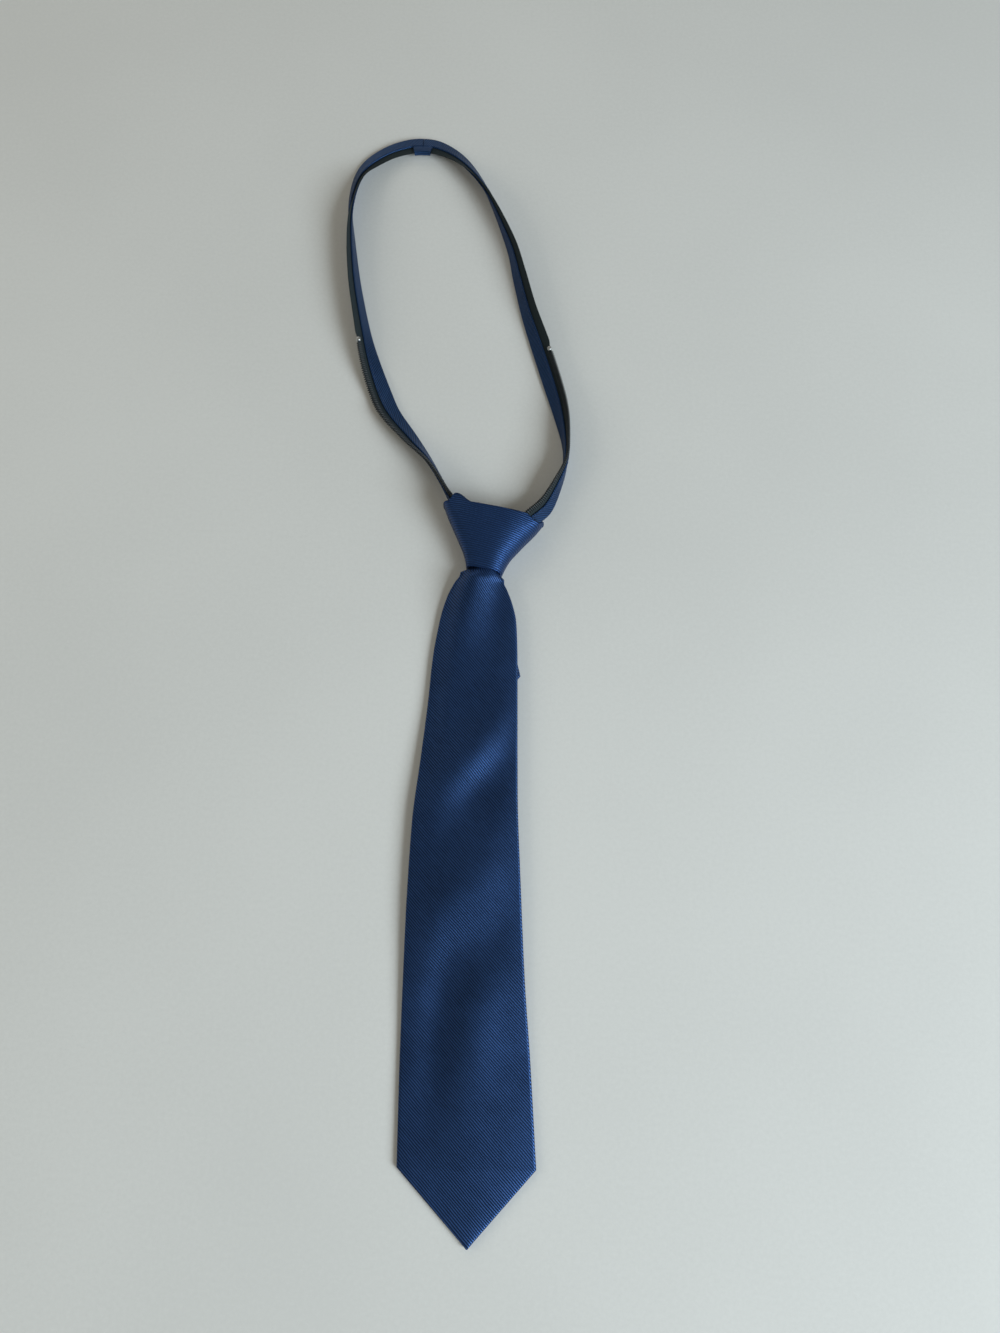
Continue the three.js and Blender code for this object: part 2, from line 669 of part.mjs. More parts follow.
// Materials
const satin = new THREE.MeshStandardMaterial({ color: 0x22407f, roughness: 0.5, metalness: 0 });
const tapeCloth = new THREE.MeshStandardMaterial({ color: 0x14171c, roughness: 0.85, metalness: 0 });
const coilPlastic = new THREE.MeshStandardMaterial({ color: 0x22262b, roughness: 0.45, metalness: 0 });
const silver = new THREE.MeshStandardMaterial({ color: 0xc9ccd0, roughness: 0.3, metalness: 1 });
const sliderMetal = new THREE.MeshStandardMaterial({ color: 0x8d9095, roughness: 0.35, metalness: 1 });

// Assembly
const necktie = new THREE.Group();
necktie.add(makeBlade(satin), makeTail(satin), makeKnot(satin));
for (const half of halves) {
  necktie.add(
    makeCover(half, satin),
    makeTape(half, tapeCloth),
    makeCoil(half, coilPlastic),
    makeStop(half, silver),
  );
}
necktie.add(makeKeeper(satin), makeSlider(sliderMetal));

// The origin is under the middle of the whole tie, on the table.
necktie.updateMatrixWorld(true);
const bounds = new THREE.Box3().setFromObject(necktie);
const middle = bounds.getCenter(new THREE.Vector3());
necktie.position.set(-middle.x, -middle.y, -bounds.min.z);

export default necktie;
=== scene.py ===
"""A boy's pre-tied zip necktie, lying face up on a pale table.

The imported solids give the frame. Each of them is dressed here as ribbed satin, zip tape, nylon coil or
metal. Lengths are millimetres from the middle of the knot's lower end, on the table, with x to the right
and y towards the neck loop, and become metres when a mesh is made.
"""

import math

import bpy
import numpy as np
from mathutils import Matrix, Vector


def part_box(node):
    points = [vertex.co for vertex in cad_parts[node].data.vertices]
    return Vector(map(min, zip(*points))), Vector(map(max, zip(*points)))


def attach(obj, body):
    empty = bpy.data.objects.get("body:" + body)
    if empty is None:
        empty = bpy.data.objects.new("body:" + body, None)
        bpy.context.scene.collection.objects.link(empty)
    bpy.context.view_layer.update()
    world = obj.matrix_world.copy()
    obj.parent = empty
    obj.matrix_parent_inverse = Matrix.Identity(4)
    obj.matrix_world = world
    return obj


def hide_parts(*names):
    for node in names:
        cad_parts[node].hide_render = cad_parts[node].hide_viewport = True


# Cloth and clearances
CLEARANCE = 0.3
KNOT_WALL = 1.2
MM = 0.001

# Blade, measured down from the knot
BLADE_LENGTH = 313.6
BLADE_WIDTH = 62.4
BLADE_POINT = 32.4
BLADE_THICKNESS = 3.8
BLADE_EDGE = 2.6
NECK_THICKNESS = 5.8
NECK_LENGTH = 12
SEAM_GAP = 0.8
FLAP_DEPTH = 1
FLAP_OPENING = 82
HEM_WIDTH = 3.2
HEM_ROLL = 0.15
NECK_FILL = 0.35
SWELL_START = (1, 5)

# Pull tail
TAIL_LENGTH = 68.5
TAIL_WIDTH = 25
TAIL_POINT = 12.3
TAIL_THICKNESS = 2.8
TAIL_TURN = math.radians(7.5)
TAIL_RUN = 16

# Shares and powers that shape the edges and the ends of the blade and the tail
CROWN_POWER = 2.5
EDGE_DROOP = 0.5
RECESS_LIMIT = 0.8
HEM_LIMIT = 0.6
DEPTH_LIMIT = 0.2
NECK_ROLL = 0.4
BLADE_TURN_END = 0.1
POINT_POWER = 1.15
POINT_END = 0.985
TAIL_ROOT_WIDTH = 0.8
TAIL_ROLL = 0.8
TAIL_PRESS = 0.1
TAIL_LIFT_END = 0.15
TAIL_TURN_END = 0.3

# Knot
KNOT_HEIGHT = 31.5
KNOT_WIDTH = 53.5
KNOT_WAIST = 18.7
KNOT_SLACK = 4.5
KNOT_TURN = math.radians(10)
LEFT_EAR = 4
RIGHT_DIP = 2.4
BACK_EAR = 1.8
LEFT_EAR_ACROSS = (0.42, 0.76, 0.79, 0.88)
RIGHT_DIP_ACROSS = (0.64, 0.86, 0.93, 1)
BACK_EAR_ACROSS = (0.4, 0.55, 0.66, 0.76)
EAR_RIM = 0.8
LIP_PRESS = 0.9
KNOT_WIDEST = 0.42
FRONT_POWER_LEFT = 3.2
FRONT_POWER_RIGHT = 2.4
BACK_POWER = 4

# Neck loop and zip
LOOP_WIDTH = 127.2
LOOP_HEIGHT = 237
STRAP_WIDTH = 12.5
STRAP_THICKNESS = 2.5
COVER_WIDTH = 7.8
COVER_WALL = 0.8
COVER_ROOT = 1
COVER_LIP = 0.4
COVER_CORNER = 0.1
TAPE_THICKNESS = 0.5
TAPE_ROOT = 1.3
TAPE_WIDENING = 3
COIL_WIDTH = 3.4
COIL_THICKNESS = 2
COIL_PITCH = 1.25
COIL_WIRE = 0.27
ZIP_RUN = 105.5
STOP_LENGTH = 2.2
STOP_MIDDLE = 1.6
STOP_REACH = 1.2
STOP_WALL = 0.6
STOP_GRIP = 0.8
STOP_ROUNDING = 0.35
KEEPER_LENGTH = 12
KEEPER_WALL = 0.9
SLIDER_LENGTH = 9.5

# Slider's plates and the bridge between them
PLATE_LENGTH = 9.3
PLATE_WIDTH = 8.8
PLATE_THICKNESS = 1.6
PLATE_POWER = 0.45
PLATE_WAIST = 0.22
BRIDGE_WIDTH = 1.3
BRIDGE_LENGTH = 2.2
BRIDGE_UP = 0.22

# Stitches of the blade's back seam, of the bar tack where its flaps part, and of the covers
SEAM_START = 26
SEAM_STEP = 5.5
SEAM_REACH = 0.95
SEAM_LEAN = 0.5
SEAM_SLACK = 0.42
BACK_THREAD = 0.16
TACK_THREADS = 7
TACK_REACH = 2.6
TACK_STEP = 0.3
TACK_START = 1.2
TACK_LIFT = 0.24
TACK_SLACK = 0.3
COVER_STITCH_STEP = 2.6
COVER_STITCH_LENGTH = 1.7
COVER_STITCH_INSET = 1.2
COVER_STITCH_DIP = 0.14
COVER_STITCH_LIFT = 0.02
COVER_THREAD = 0.13

# Directions of the ribs in degrees, and how much the cloth is gathered where it is sewn narrower
BLADE_RIBS = -47
TAIL_RIBS = -45
KNOT_RIBS = -5
COVER_RIBS = 45
KEEPER_RIBS = 0
NECK_GATHER = 1.3
KNOT_GATHER = 1.1

# Distances between the threads of each cloth
RIB_PITCH = 1.05
CROSS_YARN_PITCH = 0.42
WARP_PITCH = 0.4
WEFT_PITCH = 0.46
CORD_PITCH = 0.7
PICK_PITCH = 0.5
TWIST_PITCH = 0.3

# Camera, with its places measured from the knot's foot
CAMERA_EYE = (11.81, -175.8, 473.9)
CAMERA_AIM = (9.24, -48.82, 0)
CAMERA_LENS = 26
CAMERA_FILM = 36

# Room
ROOM_COLOUR = (1, 0.97, 0.82, 1)
ROOM_STRENGTH = 0.15
TABLE_REACH = 3000

# Sizes that follow
RIM_DEPTH = STRAP_WIDTH + 2 * (KNOT_WALL + CLEARANCE) + KNOT_SLACK
WAIST_DEPTH = 2 * KNOT_WALL + 5 * CLEARANCE + TAIL_THICKNESS + NECK_THICKNESS
TAIL_LIFT = KNOT_WALL + 2 * CLEARANCE
NECK_LIFT = TAIL_LIFT + TAIL_THICKNESS + CLEARANCE
TAIL_STACK = TAIL_THICKNESS + CLEARANCE
NECK_WIDTH = KNOT_WAIST - 2 * (KNOT_WALL + CLEARANCE)
STRAP_ROUND = STRAP_THICKNESS / 2

# Fineness of the meshes
CREASE = math.radians(60)
BLADE_STEP = 1.1
POINT_RINGS = 41
NECK_RINGS = 9
TAIL_RINGS = (70, 17)
FRONT_POINTS = 72
ROLL_POINTS = 8
FLAP_FACES = 5
LINING_FACES = 4
KNOT_POINTS = 180
KNOT_RINGS = 64
LIP_RINGS = 5
ROUTE_SHARE = 60
STRAP_STEP = 1.25
STOP_STEP = 0.2
FLAT_POINTS = 9
COIL_POINTS = 16
WIRE_SIDES = 7
THREAD_SIDES = 6
PLATE_POINTS = 48
BRIDGE_POINTS = 24


def table(columns, *rows):
    """A table with named columns, as one array for each column."""
    return dict(zip(columns.split(), np.array(rows, float).T))


# The blade in sections: down is a share of BLADE_LENGTH, width and sway of BLADE_WIDTH, thick of
# BLADE_THICKNESS, over and tail share out NECK_LIFT and TAIL_STACK, and left and right keep part of that at
# the edges.
BLADE_ROWS = table(
    "down width sway thick over tail left right",
    (0.007, 0.368, -0.013, 1.66, 0.9, 0.1, 0.9, 0.9),
    (0.014, 0.378, -0.017, 1.62, 0.7, 0.3, 0.85, 0.92),
    (0.022, 0.43, -0.022, 1.54, 0.5, 0.5, 0.8, 0.95),
    (0.049, 0.548, -0.033, 1.42, 0.1, 0.9, 0.5, 1),
    (0.083, 0.63, -0.041, 1.3, 0, 1, 0.3, 1),
    (0.15, 0.694, -0.057, 1.16, 0, 1, 0.2, 1),
    (0.217, 0.721, -0.065, 1.12, 0, 1, 0.25, 1),
    (0.31, 0.768, -0.081, 1.25, 0, 0.95, 0.6, 1),
    (0.405, 0.825, -0.097, 1.25, 0, 0.85, 0.9, 1),
    (0.525, 0.875, -0.089, 1.25, 0, 0.7, 1, 1),
    (0.641, 0.913, -0.073, 1.2, 0, 0.3, 1, 1),
    (0.752, 0.96, -0.049, 1.08, 0, 0, 1, 1),
    (0.897, 1, -0.017, 1, 0, 0, 1, 1),
)

# Soft swells and hollows over the front: down and length are shares of BLADE_LENGTH, across and breadth of
# BLADE_WIDTH, rise of BLADE_THICKNESS, and turn is degrees from the blade's own direction.
BLADE_SWELLS = table(
    "down across length breadth turn rise",
    (0.035, -0.1, 0.08, 0.14, 6, 0.82),
    (0.055, 0.2, 0.1, 0.14, 4, -0.6),
    (0.3, 0.03, 0.1, 0.17, 42, 0.56),
    (0.345, 0.21, 0.1, 0.17, 44, -0.56),
    (0.515, -0.08, 0.1, 0.2, 48, 0.48),
    (0.6, 0.12, 0.09, 0.19, 46, -0.5),
    (0.7, 0.1, 0.14, 0.18, 6, 0.26),
    (0.71, -0.22, 0.13, 0.16, 10, -0.48),
)

# The knot from its waist up to its rim: up is a share of KNOT_HEIGHT, width and depth of what it gains over
# its waist, and sway, to the left, of KNOT_WIDTH.
KNOT_ROWS = table(
    "up width depth sway",
    (0, 0, 0, 0),
    (0.14, 0.075, 0.2, 0.004),
    (0.28, 0.185, 0.38, 0.01),
    (0.44, 0.365, 0.56, 0.014),
    (0.62, 0.58, 0.74, 0.017),
    (0.82, 0.82, 0.9, 0.018),
    (1, 1, 1, 0.022),
)

# The strap's middle line. In the knot across is a share of half of KNOT_WIDTH, up of KNOT_HEIGHT and lift
# of RIM_DEPTH. In the loop across is a share of LOOP_WIDTH and up of LOOP_HEIGHT from the middle of the knot's
# rim. lean is how far the zip edge leans out of the loop, in degrees.
STRAP_IN_KNOT_RIGHT = table(
    "across up lift lean",
    (0.43, 0.7, 0.16, -38),
    (0.56, 0.88, 0.16, -34),
    (0.69, 1.06, 0.14, -30),
)
STRAP_IN_LOOP = table(
    "across up lean",
    (0.205, 0.03, -31),
    (0.252, 0.081, -15),
    (0.287, 0.135, 2),
    (0.29, 0.19, 11),
    (0.268, 0.265, 35),
    (0.232, 0.339, 47),
    (0.18, 0.432, 47),
    (0.125, 0.526, 36),
    (0.081, 0.622, 28),
    (0.041, 0.708, 14),
    (-0.048, 0.83, -8),
    (-0.12, 0.9, -31),
    (-0.21, 0.96, -56),
    (-0.305, 0.995, -72),
    (-0.378, 1.003, -76),
    (-0.45, 0.998, -76),
    (-0.537, 0.977, -72),
    (-0.618, 0.939, -63),
    (-0.664, 0.89, -41),
    (-0.687, 0.816, -18),
    (-0.684, 0.734, 8),
    (-0.653, 0.601, 25),
    (-0.601, 0.466, 37),
    (-0.561, 0.384, 60),
    (-0.509, 0.306, 80),
    (-0.461, 0.253, 66),
    (-0.368, 0.187, 45),
    (-0.275, 0.122, 16),
)
KEEPER_ROW = 14
STRAP_IN_KNOT_LEFT = table(
    "across up lift lean",
    (-0.98, 1.2, 0.08, 2),
    (-0.76, 1, 0.15, -12),
    (-0.6, 0.84, 0.16, -24),
    (-0.44, 0.68, 0.16, -38),
)


# Small maths
def smoothstep(value, low, high):
    """0 below low, 1 above high, and a soft step between them."""
    t = np.clip((np.asarray(value, float) - low) / (high - low), 0, 1)
    return t * t * (3 - 2 * t)


def lerp(a, b, t):
    return a + (b - a) * t


def signed_power(value, power):
    return np.sign(value) * np.abs(value) ** power


def hermite(first, second, first_slope, second_slope, t):
    """A point on the curve through two values with their slopes."""
    t2 = t * t
    t3 = t2 * t
    return (
        first * (2 * t3 - 3 * t2 + 1)
        + first_slope * (t3 - 2 * t2 + t)
        + second * (3 * t2 - 2 * t3)
        + second_slope * (t3 - t2)
    )


def read(rows, key, at):
    """Every column of a table at many values of its key column, smooth and without overshoot."""
    x = rows[key]
    i = np.clip(np.searchsorted(x, at, side="right") - 1, 0, len(x) - 2)
    span = x[i + 1] - x[i]
    t = np.clip((at - x[i]) / span, 0, 1)
    result = {}
    for name, y in rows.items():
        slope = np.diff(y) / np.diff(x)
        a, b = slope[:-1], slope[1:]
        safe = np.where(a * b > 0, a + b, 1)
        joined = np.where(a * b > 0, 2 * a * b / safe, 0)
        slopes = np.concatenate([slope[:1], joined, slope[-1:]])
        result[name] = hermite(y[i], y[i + 1], slopes[i] * span, slopes[i + 1] * span, t)
    return result


def along_rows(rows, at):
    """A curve through the rows of an array, by fractional row number."""
    last = len(rows) - 1
    i = np.clip(np.floor(at).astype(int), 0, last - 1)
    before = rows[np.maximum(i - 1, 0)]
    after = rows[np.minimum(i + 2, last)]
    t = (at - i).reshape(-1, *[1] * (rows.ndim - 1))
    return hermite(rows[i], rows[i + 1], (rows[i + 1] - before) / 2, (after - rows[i]) / 2, t)


def stack(x, y, z):
    """Points from their three coordinates."""
    return np.stack(np.broadcast_arrays(x, y, z), axis=-1).astype(float)


def knot_place(across, up, height):
    """Points given in the knot's own frame, which is turned from the blade's."""
    cos, sin = math.cos(KNOT_TURN), math.sin(KNOT_TURN)
    return stack(across * cos + up * sin, up * cos - across * sin, height)


def rounded_ends(count, reach):
    """The girth along a short round piece, by its sample, as a share of its full girth."""
    return np.sqrt(np.clip(1 - np.linspace(-reach, reach, count) ** 4, 0, 1))


def weave(u, v, rib_angle):
    """Distances across and along the ribs of cloth that lies in u and v."""
    angle = math.radians(rib_angle)
    cos, sin = math.cos(angle), math.sin(angle)
    return stack(v * cos - u * sin, u * cos + v * sin, 0)


# Frame, measured before anything is added
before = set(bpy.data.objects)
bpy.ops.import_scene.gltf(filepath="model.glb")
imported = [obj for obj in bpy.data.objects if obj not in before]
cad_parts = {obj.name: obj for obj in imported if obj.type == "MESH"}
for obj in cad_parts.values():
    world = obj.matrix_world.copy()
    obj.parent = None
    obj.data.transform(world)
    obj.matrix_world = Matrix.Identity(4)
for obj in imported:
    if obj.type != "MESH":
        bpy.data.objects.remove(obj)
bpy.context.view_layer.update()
slider_low, slider_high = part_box("zip_slider")
SLIDER_UP = TAIL_RUN + CLEARANCE + SLIDER_LENGTH / 2
KNOT_FOOT = np.array((slider_low + slider_high) / 2) / MM - knot_place(0, SLIDER_UP, 0)
KNOT_FOOT[2] = 0


# Meshes
def make_piece(name, points, faces, cloth, finishes, which=None):
    """A smooth mesh from points in millimetres, with its weave and the finish of each face."""
    mesh = bpy.data.meshes.new(name)
    mesh.from_pydata((points + KNOT_FOOT) * MM, [], faces)
    for finish in finishes:
        mesh.materials.append(finish)
    if which is not None:
        mesh.polygons.foreach_set("material_index", np.asarray(which, np.int32))
    mesh.polygons.foreach_set("use_smooth", [True] * len(faces))
    mesh.set_sharp_from_angle(angle=CREASE)
    attribute = mesh.attributes.new("weave", "FLOAT_VECTOR", "POINT")
    attribute.data.foreach_set("vector", cloth.astype(np.float32).ravel())
    piece = bpy.data.objects.new(name, mesh)
    bpy.context.scene.collection.objects.link(piece)
    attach(piece, "root")
    return piece


def grid_faces(rings, count, is_sleeve=False):
    """Four-sided faces between round rings of points; a sleeve's last ring meets its first."""
    i = np.arange(rings if is_sleeve else rings - 1)[:, None]
    j = np.arange(count)[None, :]
    here, ahead = i * count, ((i + 1) % rings) * count
    k = (j + 1) % count
    corners = np.stack([here + j, here + k, ahead + k, ahead + j], axis=-1)
    return [tuple(face) for face in corners.reshape(-1, 4)]


def outward(points, faces):
    """The faces, turned over where they would face into the solid that they enclose."""
    total = 0.0
    for face in faces:
        a, b, c = points[face[0]], points[face[1]], points[face[2]]
        total += float(np.dot(a, np.cross(b, c)))
        if len(face) == 4:
            total += float(np.dot(a, np.cross(c, points[face[3]])))
    return [tuple(reversed(face)) for face in faces] if total < 0 else faces


def loft(name, rings, cloth, finishes, which=None):
    """A closed piece through rings of points, with an end over its first and last ring.

    which gives the finish of each face along a ring, by its number in finishes.
    """
    count = rings.shape[1]
    points, coords = rings.reshape(-1, 3), cloth.reshape(-1, 3)
    faces = grid_faces(len(rings), count)
    indices = [0] * len(faces) if which is None else list(np.tile(which, len(rings) - 1))
    for row, is_last in ((0, False), (len(rings) - 1, True)):
        hub = len(points)
        points = np.vstack([points, rings[row].mean(axis=0)])
        coords = np.vstack([coords, cloth[row].mean(axis=0)])
        for j in range(count):
            pair = (row * count + j, row * count + (j + 1) % count)
            faces.append((*(pair if is_last else pair[::-1]), hub))
            indices.append(0)
    return make_piece(name, points, outward(points, faces), coords, finishes, indices)


def sleeve(name, rings, cloth, finishes, which):
    """A hollow piece, open at both ends, whose rings run up its outside and back down its inside.

    which gives the finish of each ring's faces, by its number in finishes.
    """
    points = rings.reshape(-1, 3)
    faces = grid_faces(len(rings), rings.shape[1], is_sleeve=True)
    indices = np.repeat(which, rings.shape[1])
    return make_piece(name, points, outward(points, faces), cloth.reshape(-1, 3), finishes, indices)


def thread_tubes(name, paths, radius, finish):
    """Short round threads along paths of points, joined in one piece and drawn in at their ends."""
    points, faces, cloth = [], [], []
    for path in paths:
        path = np.asarray(path, float)
        ahead = np.gradient(path, axis=0)
        ahead /= np.linalg.norm(ahead, axis=1, keepdims=True)
        guide = np.where(np.abs(ahead[:, 2:]) > 0.8, [[1.0, 0, 0]], [[0, 0, 1.0]])
        side = np.cross(ahead, guide)
        side /= np.linalg.norm(side, axis=1, keepdims=True)
        rise = np.cross(side, ahead)
        girth = radius * rounded_ends(len(path), 0.97)[:, None]
        start = len(points)
        for n in range(THREAD_SIDES):
            angle = 2 * math.pi * n / THREAD_SIDES
            points.extend(path + girth * (side * math.cos(angle) + rise * math.sin(angle)))
            cloth.extend(stack(np.arange(len(path)) * radius, n * radius, 0))
        rows = np.arange(start, len(points)).reshape(THREAD_SIDES, len(path)).tolist()
        for n in range(THREAD_SIDES):
            lower, upper = rows[n], rows[(n + 1) % THREAD_SIDES]
            for i in range(len(path) - 1):
                faces.append((lower[i], lower[i + 1], upper[i + 1], upper[i]))
        faces.append(tuple(row[0] for row in rows))
        faces.append(tuple(row[-1] for row in reversed(rows)))
    return make_piece(name, np.array(points), faces, np.array(cloth), [finish])


# Shader maths
class Wire:
    """A socket of a material's node tree that can be written into sums."""

    def __init__(self, finish, socket):
        self.finish = finish
        self.socket = socket

    def math(self, operation, *others):
        inputs = dict(enumerate((self, *others)))
        return self.finish.node("ShaderNodeMath", {"operation": operation}, inputs)

    def __add__(self, other):
        return self.math("ADD", other)

    def __sub__(self, other):
        return self.math("SUBTRACT", other)

    def __mul__(self, other):
        return self.math("MULTIPLY", other)

    def __rsub__(self, other):
        return self.math("MULTIPLY_ADD", -1, other)

    __radd__ = __add__
    __rmul__ = __mul__

    def wave(self, pitch):
        """A wave between 0 and 1 that comes back every pitch millimetres."""
        return (self * (2 * math.pi / pitch)).math("SINE") * 0.5 + 0.5

    def power(self, exponent):
        return self.math("POWER", exponent)

    def step(self, low, high):
        """A soft step from 0 at low to 1 at high."""
        settings = {"interpolation_type": "SMOOTHSTEP"}
        return self.finish.node("ShaderNodeMapRange", settings, {0: self, 1: low, 2: high, 3: 0, 4: 1})


class Finish:
    """A material under construction, with what is the same all over set on its shader."""

    def __init__(self, name, **constants):
        self.material = bpy.data.materials.new(name)
        self.material.use_nodes = True
        self.tree = self.material.node_tree
        self.shader = self.tree.nodes["Principled BSDF"]
        for socket, value in constants.items():
            self.shader.inputs[socket.replace("_", " ")].default_value = value

    def connect(self, socket, value):
        if isinstance(value, Wire):
            self.tree.links.new(value.socket, socket)
        else:
            socket.default_value = value

    def node(self, kind, settings=None, inputs=None, output=0):
        node = self.tree.nodes.new(kind)
        for key, value in (settings or {}).items():
            setattr(node, key, value)
        for key, value in (inputs or {}).items():
            self.connect(node.inputs[key], value)
        return Wire(self, node.outputs[output])

    def weave(self):
        """The distances across and along the ribs, in millimetres."""
        cloth = self.node("ShaderNodeAttribute", {"attribute_name": "weave"}, output=1)
        return [self.node("ShaderNodeSeparateXYZ", inputs={0: cloth}, output=n) for n in (0, 1)]

    def place(self):
        """The place in the tie, in millimetres."""
        place = self.node("ShaderNodeTexCoord", output=3)
        return self.node("ShaderNodeVectorMath", {"operation": "SCALE"}, {0: place, 3: 1 / MM})

    def flat(self, x, y):
        return self.node("ShaderNodeCombineXYZ", inputs={0: x, 1: y})

    def noise(self, vector, scale, detail=3, roughness=0.55):
        inputs = {"Vector": vector, "Scale": scale, "Detail": detail, "Roughness": roughness}
        return self.node("ShaderNodeTexNoise", inputs=inputs)

    def blend(self, factor, first, second):
        """A colour between two colours."""
        settings = {"data_type": "RGBA"}
        return self.node("ShaderNodeMix", settings, {0: factor, 6: first, 7: second}, output=2)

    def bump(self, height, distance, strength=1.0, below=None):
        """A relief of the surface, distance millimetres high; below is a relief that it lies on."""
        inputs = {"Height": height, "Distance": distance * MM, "Strength": strength}
        if below is not None:
            inputs["Normal"] = below
        return self.node("ShaderNodeBump", inputs=inputs)

    def finish(self, **links):
        for socket, value in links.items():
            self.connect(self.shader.inputs[socket.replace("_", " ")], value)
        return self.material


def ribbed_satin(name, dark, light, gloss, relief=0.14):
    """Navy satin with fine ribs, each of them a bundle of glossy yarns, that stand as high as relief."""
    finish = Finish(name)
    across, along = finish.weave()
    waver = finish.noise(finish.flat(across * 0.09, along * 0.05), 1, 2)
    ribs = (across + waver * 0.9).wave(RIB_PITCH)
    yarns = finish.noise(finish.flat(across * 5.5, along * 0.9), 1, 3, 0.6)
    slubs = finish.noise(finish.flat(across * 0.8, along * 0.12), 1, 2, 0.5)
    cross_yarns = along.wave(CROSS_YARN_PITCH)
    wear = finish.noise(finish.place(), 0.035, 3, 0.6)
    # Painted light: the blend from dark to light paints shade into the grooves between the ribs and sheen on
    # the rib tops. This lies over the yarns' own tone and the random tone.
    lift = ribs * 0.62 + yarns * 0.3 + slubs * 0.25 - 0.1 + (wear - 0.5) * 0.3
    colour = finish.blend(lift.step(0.05, 1.0), dark, light)
    body = finish.bump(ribs.power(0.8), relief)
    fine = finish.bump(yarns * 0.6 + cross_yarns * 0.25 * ribs, 0.05, 0.8, body)
    metallic = ribs * 0.08 + gloss
    roughness = 0.47 - ribs * 0.06 + yarns * 0.08 + (wear - 0.5) * 0.1
    return finish.finish(Base_Color=colour, Metallic=metallic, Roughness=roughness, Normal=fine)


def plain_lining(name, dark, light):
    """Smooth lining cloth in a fine square weave."""
    finish = Finish(name, Sheen_Weight=0.2, Sheen_Roughness=0.5, Sheen_Tint=(0.3, 0.45, 1, 1))
    across, along = finish.weave()
    warp = across.wave(WARP_PITCH)
    weft = along.wave(WEFT_PITCH)
    cloud = finish.noise(finish.place(), 0.08, 4, 0.6)
    colour = finish.blend((warp * weft * 0.5 + cloud * 0.6).step(0.1, 1), dark, light)
    relief = finish.bump(warp * 0.5 + weft * 0.5, 0.05, 0.8)
    return finish.finish(Base_Color=colour, Roughness=0.62 - warp * 0.08, Normal=relief)


def zip_tape(name, dark, light):
    """Woven zip tape: close cords along its length, crossed by finer ones."""
    finish = Finish(name, Specular_IOR_Level=0.2)
    across, along = finish.weave()
    cords = across.wave(CORD_PITCH)
    picks = (along + cords * 0.111).wave(PICK_PITCH)
    fuzz = finish.noise(finish.place(), 2.2, 3, 0.65)
    colour = finish.blend((cords * 0.4 + picks * 0.3 + fuzz * 0.5).step(0.15, 1.1), dark, light)
    relief = finish.bump(cords * 0.55 + picks * 0.3 + fuzz * 0.3, 0.12)
    return finish.finish(Base_Color=colour, Roughness=0.78 + fuzz * 0.15, Normal=relief)


def nylon_coil(name, dark, light):
    """Drawn nylon, a little clouded, with a soft gloss."""
    finish = Finish(name, Specular_IOR_Level=0.6)
    cloud = finish.noise(finish.place(), 0.6, 3, 0.6)
    drawn = finish.noise(finish.place(), 6, 2, 0.5)
    colour = finish.blend((cloud * 0.7 + drawn * 0.4).step(0.3, 0.8), dark, light)
    relief = finish.bump(drawn, 0.03, 0.6)
    return finish.finish(Base_Color=colour, Roughness=0.34 + cloud * 0.2, Normal=relief)


def sewing_thread(name, dark, light):
    """Twisted polyester thread."""
    finish = Finish(name, Sheen_Weight=0.3, Sheen_Roughness=0.4)
    across, along = finish.weave()
    twist = (across + along).wave(TWIST_PITCH)
    colour = finish.blend(twist.step(0.1, 0.9), dark, light)
    return finish.finish(Base_Color=colour, Roughness=0.55 - twist * 0.1, Normal=finish.bump(twist, 0.04))


def pressed_metal(name, dark, light, roughness):
    """Tumbled zip metal with fine scratches and duller patches."""
    finish = Finish(name)
    place = finish.place()
    haze = finish.noise(place, 0.9, 4, 0.6)
    drawn = finish.node("ShaderNodeMapping", inputs={"Vector": place, "Scale": (14, 2, 5)})
    scratches = finish.noise(drawn, 1, 2)
    colour = finish.blend((haze * 0.6 + scratches * 0.4).step(0.25, 0.75), dark, light)
    relief = finish.bump(scratches * 0.6 + haze * 0.4, 0.02, 0.6)
    dull = haze * 0.2 + roughness - 0.1
    return finish.finish(Base_Color=colour, Metallic=1 - haze * 0.15, Roughness=dull, Normal=relief)


def table_top(name, dark, light):
    """A plain pale matt top."""
    finish = Finish(name, Specular_IOR_Level=0.3)
    cloud = finish.noise(finish.place(), 0.004, 3, 0.5)
    grain = finish.noise(finish.place(), 0.5, 3, 0.7)
    colour = finish.blend((cloud * 0.6 + grain * 0.4).step(0.3, 0.7), dark, light)
    relief = finish.bump(grain, 0.05, 0.3)
    return finish.finish(Base_Color=colour, Roughness=0.75 + grain * 0.1, Normal=relief)


# In each satin the dark colour is partly painted shade for the rib grooves, and the light colour is partly
# painted sheen for the rib tops. The knot's copy spreads them less.
SATIN = ribbed_satin("ribbed_satin", (0.006, 0.018, 0.052, 1), (0.048, 0.117, 0.33, 1), 0.8)
KNOT_SATIN = ribbed_satin(
    "knot_satin", (0.014, 0.037, 0.108, 1), (0.035, 0.088, 0.255, 1), 0.84, relief=0.18
)
BAND_SATIN = ribbed_satin("neckband_satin", (0.007, 0.021, 0.056, 1), (0.036, 0.098, 0.265, 1), 0.76)
LINING = plain_lining("plain_lining", (0.006, 0.014, 0.04, 1), (0.014, 0.034, 0.1, 1))
TAPE = zip_tape("zip_tape", (0.008, 0.013, 0.016, 1), (0.03, 0.043, 0.05, 1))
COIL = nylon_coil("nylon_coil", (0.009, 0.011, 0.013, 1), (0.036, 0.041, 0.048, 1))
THREAD = sewing_thread("sewing_thread", (0.008, 0.018, 0.06, 1), (0.02, 0.045, 0.14, 1))
STOP_METAL = pressed_metal("stop_metal", (0.5, 0.51, 0.52, 1), (0.8, 0.81, 0.82, 1), 0.28)
SLIDER_METAL = pressed_metal("slider_metal", (0.2, 0.2, 0.21, 1), (0.42, 0.43, 0.44, 1), 0.36)


